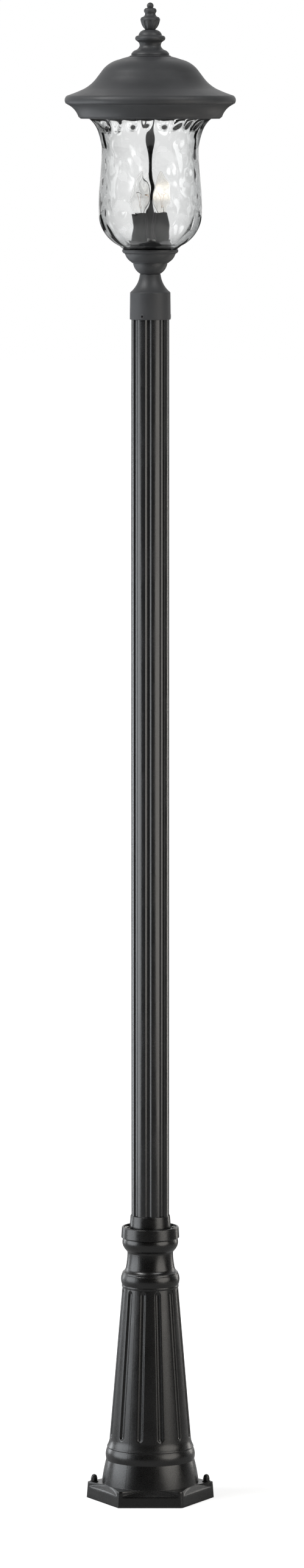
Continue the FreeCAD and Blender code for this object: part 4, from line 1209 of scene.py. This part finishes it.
# ---------------------------------------------------------------------------------------------- lamps
@dataclass
class CandleLamp:
    """One lampholder in its candle sleeve, with a torpedo lamp in it."""

    number: int
    lit: bool = False
    circle: float = 25.5
    first: float = -27.0
    lid: float = 2550.0
    sleeve: float = 54.8
    glass_foot: float = 2596.2
    height: float = 93.0
    belly: float = 17.0
    base_foot: float = 2581.8
    burning: float = 50.0

    @property
    def azimuth(self) -> float:
        """Where the lamp stands."""
        return self.first + 120.0 * (self.number - 1)

    @property
    def ride(self) -> Ride:
        """The lamp's own body."""
        return Ride[f"LAMP_{self.number}"]

    def here(self, surface: tuple[Array, Array]) -> tuple[Array, Array]:
        """A surface built on the axis, at the lamp's place."""
        return moved(surface[0], self.azimuth, self.circle), surface[1]

    def candle_sleeve(self) -> tuple[Array, Array]:
        """Plain tube with an eased top.

        Returns:
            Points in mm and quads.
        """
        z = self.lid
        side = Outline(((12.0, z), (13.5, z), (13.5, z + self.sleeve - 0.5), (13.0, z + self.sleeve),
                        (12.0, z + self.sleeve)), step=6.0, ease=0.15)
        return turned_surface(side, 72)

    def envelope(self) -> tuple[Array, Array]:
        """The lamp's glass: neck, belly and drawn-out tip, closed over the stem at its foot.

        Returns:
            Points in mm and quads.
        """
        z, r = self.glass_foot, self.belly
        outer = ((5.6, z), (6.8, z + 5.58), (r, z + 40.0, 2.6), (0.47 * r, z + 78.12, 2.6),
                 (1.36, z + 92.6, 0.4))
        shell = walled(outer, 0.8)
        inner = list(shell[len(outer):])
        inner[-1] = (inner[-1][0], z + 1.2, *inner[-1][2:])
        side = Outline(((0.0, z), *outer, (0.0, z + self.height)), closed=False, step=1.4, ease=0.2)
        back = Outline(((0.0, inner[0][1]), *inner, (0.0, z + 1.2)), closed=False, step=1.6, ease=0.2)
        return joined([turned_surface(side, 80), turned_surface(back, 80)])

    def screw_base(self) -> tuple[Array, Array]:
        """The thin screw shell with a rolled thread.

        Returns:
            Points in mm and quads.
        """
        z = self.base_foot
        thread = screw_relief(2.54, 0.55, z + 0.8, z + 11.4, Wave.ROLLED)
        side = Outline(((5.1, z), (5.5, z), (5.85, z + 0.8), (5.85, z + 14.4), (5.35, z + 14.4),
                        (5.35, z + 1.0)), step=0.32, ease=0.08)
        return turned_surface(side, 64, lambda a, r, h: np.where(r > 5.2, thread(a, r, h), 0.0))

    def filament(self) -> tuple[Array, Array]:
        """A coiled wire: a helix of 14 turns along a low arch between the two supports.

        Returns:
            Points in mm and quads.
        """
        share = np.linspace(0, 1, 420)
        turn = 2 * math.pi * 14 * share
        x = -5.6 + 11.2 * share
        z = self.glass_foot + self.burning + 1.6 * np.sin(math.pi * share)
        path = np.column_stack([x, 0.5 * np.cos(turn), z + 0.5 * np.sin(turn)])
        return swept_surface(path, 0.16, 6)

    def supports(self) -> tuple[Array, Array]:
        """Two wires that leave the stem, spread, and turn in under the filament's ends.

        Returns:
            Points in mm and quads.
        """
        z = self.glass_foot
        share = np.linspace(0, 1, 24)
        wires = []
        for side in (-1, 1):
            x = side * (1.0 + 4.6 * share ** 1.4)
            y = 0.5 * np.sin(math.pi * share) * side
            rise = z + 20 + (self.burning - 20) * share
            wires.append(swept_surface(np.column_stack([x, y, rise]), 0.33, 8))
        return joined(wires)

    def stem(self) -> tuple[Array, Array]:
        """The pressed glass stem: flared foot, waist and flattened pinch.

        Returns:
            Points in mm and quads.
        """
        z = self.glass_foot + 1.2
        side = Outline(((0.0, z), (3.4, z), (2.7, z + 6.0, -0.4), (2.4, z + 18.8), (1.9, z + 22.8),
                        (0.0, z + 22.8)), closed=False, step=1.2, ease=0.2)
        points, faces = turned_surface(side, 40)
        pinch = np.clip((points[:, 2] - z - 12.0) / 8.0, 0, 1)
        points[:, 1] *= 1 - 0.5 * pinch
        return points, faces

    def build(self) -> None:
        """Makes the sleeve and the lamp, and dresses the lampholder."""
        i = self.number
        show(f"sleeve_{i}", self.here(self.candle_sleeve()), Finish.SLEEVE, Slot.SLEEVE, Ride.POST,
             f"candle_sleeve_{i}")
        envelope = show(f"lamp_glass_{i}", self.here(self.envelope()), Finish.LAMP, Slot.LAMP_GLASS, self.ride,
                        f"bulb_glass_{i}")
        if self.lit:
            turn = math.radians(self.azimuth)
            centre = (self.circle * math.cos(turn), self.circle * math.sin(turn),
                      self.glass_foot + self.burning)
            glow = LitGlass("lit_lamp_glass", centre, (1.0, 0.93, 0.80), (1.0, 0.80, 0.52))
            envelope.data.materials[0] = glow.material()
        show(f"lamp_base_{i}", self.here(self.screw_base()), Finish.BRASS, Slot.BRASS, self.ride,
             f"bulb_base_{i}")
        show(f"lamp_stem_{i}", self.here(self.stem()), Finish.LAMP, Slot.LAMP_GLASS, self.ride,
             f"bulb_mount_{i}")
        show(f"lamp_supports_{i}", self.here(self.supports()), Finish.COPPER, Slot.LAMP_GLASS, self.ride)
        show(f"lamp_filament_{i}", self.here(self.filament()),
             Finish.TUNGSTEN if self.lit else Finish.COLD_TUNGSTEN, Slot.LAMP_GLASS, self.ride)
        dress(Finish.BLACK_PLASTIC, f"socket_body_{i}", bevel_mm=0.3)
        dress(Finish.BRASS, f"socket_shell_{i}", f"socket_contact_{i}")
        dress(Finish.INSULATOR, f"bulb_contact_{i}")


@dataclass
class LampCluster:
    """Pan, lid, rod and small parts that carry the three lamps."""

    rod_foot: float = 2545.0
    rod_top: float = 2989.7
    rod: float = 5.0
    thread: float = 34.0
    lamps: list[CandleLamp] = field(default_factory=lambda: [CandleLamp(1, lit=True), CandleLamp(2),
                                                             CandleLamp(3)])

    def centre_rod(self) -> tuple[Array, Array]:
        """The rod, plain in the middle and threaded at its top.

        Returns:
            Points in mm and quads.
        """
        low, high = self.rod_foot, self.rod_top
        side = Outline(((0.0, low), (self.rod, low), (self.rod, high - self.thread), (self.rod, high - 1.0),
                        (self.rod - 1.0, high), (0.0, high)), closed=False, step=0.4, ease=0.1)
        points = side.points()
        coarse = (points[:, 1] > low + 2) & (points[:, 1] < high - self.thread - 2)
        keep = ~coarse | (np.arange(len(points)) % 24 == 0)
        thread = screw_relief(1.5, 0.75, high - self.thread, high - 0.5, Wave.SHARP)
        azimuth = np.linspace(0, 360, 48, endpoint=False)[None, :]
        radius, height = points[keep, :1], points[keep, 1:]
        reach = np.maximum(radius + np.where(radius > 4.2, thread(azimuth, radius, height), 0.0), 0.0)
        return round_the_axis(reach, height, azimuth), grid_faces(int(keep.sum()), 48, False, True)

    def build(self) -> None:
        """Makes the rod and the lamps, and dresses the cluster's solids."""
        show("threaded_rod", self.centre_rod(), Finish.ROD_COAT, Slot.ZINC, Ride.POST, "centre_rod")
        dress(Finish.HEAD_COAT, "cluster_pan", "cluster_lid", "pan_spacer", bevel_mm=0.3)
        dress(Finish.ZINC, "fitter_lock_nut", "pan_lock_nut", "socket_nuts", "rod_nut", "rod_hickey",
              bevel_mm=0.3)
        dress(Finish.BRASS, "wire_nipple", "socket_studs")
        dress(Finish.LEADS, "socket_leads")
        dress(Finish.BLACK_PLASTIC, "terminal_block", bevel_mm=0.3)
        for lamp in self.lamps:
            lamp.build()


# ---------------------------------------------------------------------------------------------- glass
@dataclass
class BellGlass:
    """The bell of hammered glass: smooth outside, with shallow irregular hollows and swells inside."""

    foot: float = 2527.0
    height: float = 268.5
    wall: float = 4.5
    hole: float = 44.5
    row_pitch: float = 27.0
    column_pitch: float = 22.0
    depth: float = 1.05
    drops: tuple[tuple[float, ...], ...] = (
        (FRONT, 227.0, 23.0, 13.0, -1.4), (FRONT + 0.5, 176.0, 24.0, 12.0, 1.1),
        (FRONT + 9.5, 42.0, 16.0, 13.0, -1.5), (FRONT - 11.0, 36.0, 15.0, 13.0, -1.3))
    lip: tuple[float, ...] = (262.0, 31.0, 15.0, 9.5, -6.4)
    lip_reach: float = 113.0
    seed: int = 11
    outer: tuple[tuple[float, ...], ...] = (
        (46.2, 0.0), (62.0, 13.2), (103.4, 78.0, 11.0), (102.6, 124.0, 0.8), (97.6, 193.0, -0.6),
        (104.7, 241.7, -2.4), (125.4, 268.5, -2.7))

    def hammering(self, azimuth: Array, radius: Array, height: Array) -> Array:
        """Hollows and swells of the inner wall, as an offset.

        Upright ovals lie in staggered rows, each shifted, leaned and stretched at random. Each adds a smooth
        bell of its own height, outward or inward: exp(-(along/a)^2 - (across/b)^2). The drops are placed one
        by one in front of the rod and the sleeves: azimuth, height over the foot, height, width and size. The
        lip is a row of strong swells under the rim, which show the dark roof: height over the foot, pitch,
        height, width and size. The random ovals leave room for both. A negative size makes the wall thicker.

        Args:
            azimuth: Azimuths (1, columns).
            radius: Radii of the inner wall (rows, 1), which is listed downwards.
            height: Heights (rows, 1).

        Returns:
            Offsets (rows, columns).
        """
        rng = np.random.default_rng(self.seed)
        total = np.zeros(np.broadcast_shapes(azimuth.shape, radius.shape))

        def press(at: float, level: float, tall: float, wide: float, size: float, lean: float = 0.0) -> Array:
            """One smooth oval of the given height and width, in mm, leaned in radians.

            Args:
                at: Azimuth of its middle.
                level: Height of its middle.
                tall: Its reach upwards.
                wide: Its reach sideways.
                size: How far it moves the wall.
                lean: How far it leans.

            Returns:
                Offsets (rows, columns).
            """
            reach = float(np.interp(level, height[::-1, 0], radius[::-1, 0]))
            across = reach * np.radians((azimuth - at + 180) % 360 - 180)
            along = height - level
            upright = along * math.cos(lean) + across * math.sin(lean)
            sideways = across * math.cos(lean) - along * math.sin(lean)
            return size * np.exp(-(upright / tall) ** 2 - (sideways / wide) ** 2)

        rows = round(self.height / self.row_pitch) + 1
        for row in range(rows):
            level = self.foot + row * self.height / (rows - 1)
            reach = float(np.interp(level, height[::-1, 0], radius[::-1, 0]))
            count = max(8, round(2 * math.pi * reach / self.column_pitch))
            for k in range(count):
                at = 360 / count * (k + 0.5 * (row % 2) + rng.uniform(-0.22, 0.22))
                middle = level + rng.uniform(-0.28, 0.28) * self.row_pitch
                tall = self.row_pitch * rng.uniform(0.38, 0.60)
                wide = self.column_pitch * rng.uniform(0.34, 0.50)
                size = self.depth * rng.uniform(0.6, 1.25) * (1 if rng.random() < 0.6 else -1)
                lean = rng.normal(0.0, 0.22)
                near = [abs((at - d[0] + 180) % 360 - 180) * math.radians(reach) < d[3] + wide
                        and abs(middle - self.foot - d[1]) < d[2] for d in self.drops]
                if not any(near) and middle < self.foot + self.lip[0] - self.lip[2]:
                    total += press(at, middle, tall, wide, size, lean)
        for at, up, tall, wide, size in self.drops:
            total += press(at, self.foot + up, tall, wide, size)
        up, pitch, tall, wide, size = self.lip
        count = round(2 * math.pi * self.lip_reach / pitch)
        for k in range(count):
            at = 360 / count * (k + rng.uniform(-0.2, 0.2))
            total += press(at, self.foot + up + rng.uniform(-3, 2), tall * rng.uniform(0.85, 1.2),
                           wide * rng.uniform(0.95, 1.4), size * rng.uniform(0.9, 1.15), rng.normal(0.35, 0.3))
        top = self.foot + self.height
        return total * np.clip((height - self.foot - 4) / 10, 0, 1) * np.clip((top - height) / 4, 0, 1)

    def surface(self) -> tuple[Array, Array]:
        """The glass: smooth outer side up, flat ground rim, hammered inner side down, flat ground foot.

        Returns:
            Points in mm and quads.
        """
        shell = walled(self.outer, self.wall)
        count = len(self.outer)
        rim_inner = (shell[count][0] + 1.2, self.height)
        inner = [rim_inner, *shell[count + 1:-1], (self.hole, 5.0), (self.hole, 0.0)]
        outside = Outline(self.outer, self.foot, closed=False, step=3.4, ease=0.4).points()
        inside = Outline(tuple(inner), self.foot, closed=False, step=1.55, ease=0.4).points()
        azimuth = np.linspace(0, 360, 330, endpoint=False)[None, :]
        inner_radius = inside[:, :1] + self.hammering(azimuth, inside[:, :1], inside[:, 1:])
        points = np.concatenate([round_the_axis(outside[:, :1], outside[:, 1:], azimuth),
                                 round_the_axis(inner_radius, inside[:, 1:], azimuth)])
        return points, grid_faces(len(outside) + len(inside), azimuth.shape[1], True, True)

    def build(self) -> None:
        """Makes the glass, and keeps the outlines of the studio lamps out of its reflections."""
        bell = show("hammered_bell_glass", self.surface(), Finish.BELL, Slot.CLEAR_GLASS, Ride.GLASS,
                    "glass_shade")
        spared = bpy.data.collections.new("spared_by_the_lamps")
        spared.objects.link(bell)
        spared.collection_objects[0].light_linking.link_state = "EXCLUDE"
        for lamp in bpy.data.objects:
            if lamp.type == "LIGHT":
                lamp.light_linking.receiver_collection = spared


# ---------------------------------------------------------------------------------------------- roof
@dataclass
class BellRoof:
    """The bell-shaped roof, the cove skirt under it and the turned cap on it."""

    skirt_foot: float = 2793.0
    roof_foot: float = 2822.7
    cap_foot: float = 2916.7
    rod_hole: float = 5.3

    def roof(self) -> tuple[Array, Array]:
        """Rolled rim, swept brim, shoulder and crown, with the screw flange and the hollow inside.

        Returns:
            Points in mm and quads.
        """
        outer = ((168.0, 0.0), (166.0, 16.3, 3.7), (133.3, 29.2, -0.5), (105.3, 53.7, -2.3), (97.8, 63.5),
                 (62.0, 88.0, 4.2), (44.0, 93.4, 0.3))
        shell = walled(outer, 3.0)
        inner = shell[len(outer):]
        side = ((148.0, 0.0), *outer, (43.2, 94.0), (self.rod_hole, 94.0), (self.rod_hole, 90.4), (43.0, 90.4),
                *inner[1:-1], (inner[-1][0], 5.0, inner[-1][2]), (148.0, 5.0))
        return turned_surface(Outline(side, self.roof_foot, step=2.2, ease=0.4), 240)

    def skirt(self) -> tuple[Array, Array]:
        """Lip, fillet and cove outside, seat for the glass and screw flange inside.

        Returns:
            Points in mm and quads.
        """
        side = ((126.3, 0.0), (138.4, 0.0), (140.6, 2.0, 0.3), (143.8, 5.0, 0.5), (166.0, 28.7, -3.4),
                (166.0, 29.7), (148.0, 29.7), (148.0, 26.7), (160.0, 26.7), (140.8, 7.5, 2.4), (111.4, 7.5),
                (111.4, 4.5), (126.3, 4.5))
        return turned_surface(Outline(side, self.skirt_foot, step=1.5, ease=0.25), 240)

    def cap(self) -> tuple[Array, Array]:
        """Flange, ogee, waist, bead and dome.

        Returns:
            Points in mm and quads.
        """
        side = ((self.rod_hole, 0.0), (41.2, 0.0), (41.2, 1.4), (37.6, 2.2), (35.4, 8.48, 1.0),
                (30.5, 12.2, 0.4), (21.3, 20.7, -1.6), (23.8, 28.6, -0.9), (28.6, 32.1), (27.2, 40.8, 2.2),
                (23.3, 41.9), (17.5, 50.5, 1.2), (12.0, 53.0, 0.3), (self.rod_hole, 53.0))
        return turned_surface(Outline(side, self.cap_foot, step=0.9, ease=0.3), 168)

    def build(self) -> None:
        """Makes roof, skirt and cap, and dresses screws and gasket."""
        show("bell_roof", self.roof(), Finish.HEAD_COAT, Slot.HEAD_COAT, Ride.ROOF, "roof")
        show("cove_skirt", self.skirt(), Finish.HEAD_COAT, Slot.HEAD_COAT, Ride.ROOF, "roof_skirt")
        show("turned_cap", self.cap(), Finish.HEAD_COAT, Slot.HEAD_COAT, Ride.ROOF, "roof_cap")
        dress(Finish.ZINC, "skirt_screws", bevel_mm=0.2)
        dress(Finish.RUBBER, "rim_gasket", bevel_mm=0.3)


@dataclass
class Finial:
    """The screwed-on finial with its gadrooned urn."""

    foot: float = 2969.7
    height: float = 54.0
    gadroons: int = 12
    columns: int = 20
    hollow: float = 4.1
    depth: float = 1.4
    hollow_top: float = 19.0

    def relief(self, azimuth: Array, radius: Array, height: Array) -> Array:
        """Round-topped hollows: depth * (1 - (across / half width)^2), with the half width held to 0.41 of the
        pitch where the urn narrows, and the way past the top end added to the way across.

        Args:
            azimuth: Azimuths (1, columns).
            radius: Radii (rows, 1).
            height: Heights (rows, 1).

        Returns:
            Offsets in mm, 0 outside the hollows.
        """
        pitch = 360.0 / self.gadroons
        off = (azimuth - FRONT + pitch / 2) % pitch - pitch / 2
        across = radius * np.radians(off)
        half = np.minimum(self.hollow, 0.41 * np.maximum(radius, 1.0) * math.radians(pitch))
        up = height - self.foot
        beyond = np.maximum(0, up - (self.hollow_top - self.hollow))
        below = np.clip((up - 0.8) / 3.0, 0, 1)
        away = np.hypot(across, beyond) / half
        deep = self.depth * half / self.hollow * np.clip(1 - away ** 2, 0, 1) ** 0.75 * below
        return np.where((radius > 9.0) & (up < self.hollow_top + 1), -deep, 0.0)

    def surface(self) -> tuple[Array, Array]:
        """Foot, urn, neck, bead and ball, and the blind thread inside.

        Returns:
            Points in mm and quads.
        """
        z = self.foot
        side = Outline(((5.06, 0.0), (9.8, 0.0), (19.5, 18.2, 2.1), (16.6, 25.0, 1.2), (10.4, 30.5, -1.2),
                        (10.6, 33.0), (9.8, 42.5, 2.4), (5.56, 43.6), (0.0, 54.0, 3.53)), z, closed=False,
                       step=0.42, ease=0.15)
        bore = Outline(((0.0, 21.0), (5.06, 21.0), (5.06, 0.0)), z, closed=False, step=2.0, ease=0.2)
        azimuth = np.linspace(0, 360, self.gadroons * self.columns, endpoint=False)[None, :]
        points = np.concatenate([bore.points(), side.points()[1:]])
        radius, height = points[:, :1], points[:, 1:]
        inner = np.arange(len(points))[:, None] < len(bore.points())
        relief = np.where(inner, 0.0, self.relief(azimuth, radius, height))
        made = round_the_axis(np.maximum(radius + relief, 0.0), height, azimuth)
        return made, grid_faces(len(points), azimuth.shape[1], False, True)

    def build(self) -> None:
        """Makes the finial."""
        show("gadrooned_finial", self.surface(), Finish.HEAD_COAT, Slot.HEAD_COAT, Ride.FINIAL, "finial")


# ---------------------------------------------------------------------------------------------- studio
@dataclass(frozen=True)
class Softbox:
    """A soft oval studio lamp."""

    name: str
    place: tuple[float, float, float]
    aim: tuple[float, float, float]
    size: tuple[float, float]
    power: float
    colour: tuple[float, float, float]

    def hang(self) -> None:
        """Puts the lamp in the scene, turned to its aim and unseen through glass."""
        data = bpy.data.lights.new(self.name, "AREA")
        data.shape, data.energy, data.color = "ELLIPSE", self.power, self.colour
        data.size, data.size_y = self.size
        lamp = bpy.data.objects.new(self.name, data)
        bpy.context.scene.collection.objects.link(lamp)
        lamp.location = self.place
        way = Vector(self.aim) - Vector(self.place)
        lamp.rotation_euler = way.to_track_quat("-Z", "Y").to_euler()
        lamp.visible_transmission = False


@dataclass
class Studio:
    """Floor, white surround, soft lamps and the camera of the photograph."""

    eye: tuple[float, float, float] = (0.0035, -14.0, 2.85)
    image: tuple[int, int] = (499, 2576)
    top_px: float = 4.0
    foot_px: float = 2478.0
    front_y: float = -0.112
    tip: float = 3.0237
    backdrop_edge: tuple[float, float] = (0.0, 0.98)
    panels: tuple[float, ...] = (0.05, 0.12, 0.22, 0.34)
    panel_light: float = 0.42
    room: float = 0.015
    even: float = 0.045
    lamps: tuple[Softbox, ...] = (
        Softbox("left_softbox", (-3.3, -0.4, 1.05), (0, 0, 1.05), (3.3, 2.9), 112.0, (0.93, 0.965, 1.0)),
        Softbox("left_strip", (-2.5, 2.3, 0.95), (0, 0, 0.95), (0.8, 2.7), 24.0, (0.93, 0.965, 1.0)),
        Softbox("right_softbox", (2.65, -1.95, 1.4), (0, 0, 1.3), (3.1, 2.6), 66.0, (1.0, 0.965, 0.91)),
        Softbox("right_strip", (2.5, 2.3, 0.95), (0, 0, 0.95), (0.6, 2.7), 15.0, (1.0, 0.965, 0.91)),
        Softbox("high_left", (-2.8, -1.2, 5.2), (0, 0, 2.8), (2.2, 2.2), 150.0, (1.0, 1.0, 1.0)),
        Softbox("high_right", (2.2, -2.2, 5.4), (0, 0, 2.8), (2.2, 2.2), 85.0, (1.0, 1.0, 1.0)))

    def camera(self) -> None:
        """Sets tilt and lens so that the finial's tip and the plinth's front edge fall on
        the photograph's rows.

        With the tilt t and the focal length f in pixels, a point at elevation e lies f * tan(e - t) above the
        middle. The tilt is halved in on until both rows agree.
        """
        x, y, z = self.eye
        top = math.atan2(self.tip - z, -y)
        foot = math.atan2(-z, self.front_y - y)
        middle = self.image[1] / 2
        low, high = math.radians(-12), math.radians(0)
        for _ in range(60):
            tilt = (low + high) / 2
            focal = (self.foot_px - self.top_px) / (math.tan(top - tilt) - math.tan(foot - tilt))
            if middle - focal * math.tan(top - tilt) > self.top_px:
                high = tilt
            else:
                low = tilt
        data = bpy.data.cameras.new("photo_camera")
        data.sensor_fit = "AUTO"
        data.sensor_width = 36.0
        data.lens = focal * data.sensor_width / self.image[1]
        data.clip_start, data.clip_end = 0.1, 200.0
        camera = bpy.data.objects.new("photo_camera", data)
        bpy.context.scene.collection.objects.link(camera)
        camera.location = self.eye
        camera.rotation_euler = (math.radians(90) + tilt, 0.0, 0.0)
        bpy.context.scene.camera = camera
        log.info("camera: tilt %.3f deg, lens %.1f mm", math.degrees(tilt), data.lens)

    def surround(self) -> None:
        """The world: white for the camera. Glass and gloss see a white backdrop behind the lantern, with a
        brighter panel on each side of its middle, and a dim room in front. The rest of the light is even."""
        world = bpy.data.worlds.new("studio")
        n = Nodes("studio_surround", world)
        light = n.add("LightPath")
        way = n.add("SeparateXYZ", {0: n.add("TexCoord").outputs["Generated"]})
        backdrop = n.ramp(way.outputs["Y"], self.backdrop_edge[0], self.backdrop_edge[1], self.room, 0.95)
        beside = n.maths("ABSOLUTE", way.outputs["X"])
        inner, low, high, outer = self.panels
        panel = n.maths("MULTIPLY", n.ramp(beside, inner, low), n.ramp(beside, high, outer, 1.0, 0.0))
        panel = n.maths("MULTIPLY", panel, n.ramp(way.outputs["Y"], 0.5, 0.8, 0.0, self.panel_light))
        backdrop = n.maths("ADD", backdrop, panel)
        seen = n.maths("MAXIMUM", light.outputs["Is Glossy Ray"], light.outputs["Is Transmission Ray"])
        strength = n.maths("ADD", n.maths("MULTIPLY", seen, backdrop),
                           n.maths("MULTIPLY", n.maths("SUBTRACT", 1.0, seen), self.even))
        strength = n.maths("MAXIMUM", strength, light.outputs["Is Camera Ray"])
        n.put(n.shader, "Strength", strength)
        bpy.context.scene.world = world

    def floor(self) -> None:
        """A wide pale floor that is white for the camera except where the lantern shades it."""
        n = Nodes("studio_floor")
        light = n.add("LightPath")
        seen = n.maths("MAXIMUM", light.outputs["Is Camera Ray"], light.outputs["Is Transmission Ray"])
        away = n.add("VectorMath", {0: n.place()}, operation="LENGTH").outputs["Value"]
        n.shade(Base_Color=(0.5, 0.5, 0.5, 1), Roughness=0.9, Specular_IOR_Level=0.0,
                Emission_Color=(1, 1, 1, 1),
                Emission_Strength=n.maths("MULTIPLY", seen, n.ramp(away, 0.25, 1.3, 0.72, 1.0)))
        turn = np.linspace(0, 360, 96, endpoint=False)[None, :]
        reach = np.array([0.0, 2.0e3, 6.0e4])[:, None]
        points, faces = round_the_axis(reach, np.zeros((3, 1)), turn), grid_faces(3, 96, False, True)
        mesh = bpy.data.meshes.new("studio_floor")
        mesh.from_pydata((points * MM).tolist(), [], faces[:, ::-1].tolist())
        mesh.materials.append(n.material)
        floor = bpy.data.objects.new("studio_floor", mesh)
        bpy.context.scene.collection.objects.link(floor)

    def build(self) -> None:
        """Sets up the camera, the surround, the floor and the lamps."""
        self.camera()
        self.surround()
        self.floor()
        for lamp in self.lamps:
            lamp.hang()
        bpy.context.scene.view_settings.view_transform = "Standard"


def main() -> None:
    """Builds the studio and every sub-assembly, and reports each piece."""
    logging.basicConfig(level=logging.INFO, format="%(message)s")
    Studio().build()
    for part in (Pedestal(), FlutedPost(), FitterAndCup(), LampCluster(), BellGlass(), BellRoof(), Finial()):
        log.info("building %s", type(part).__name__)
        part.build()


if __name__ == "__main__":
    main()
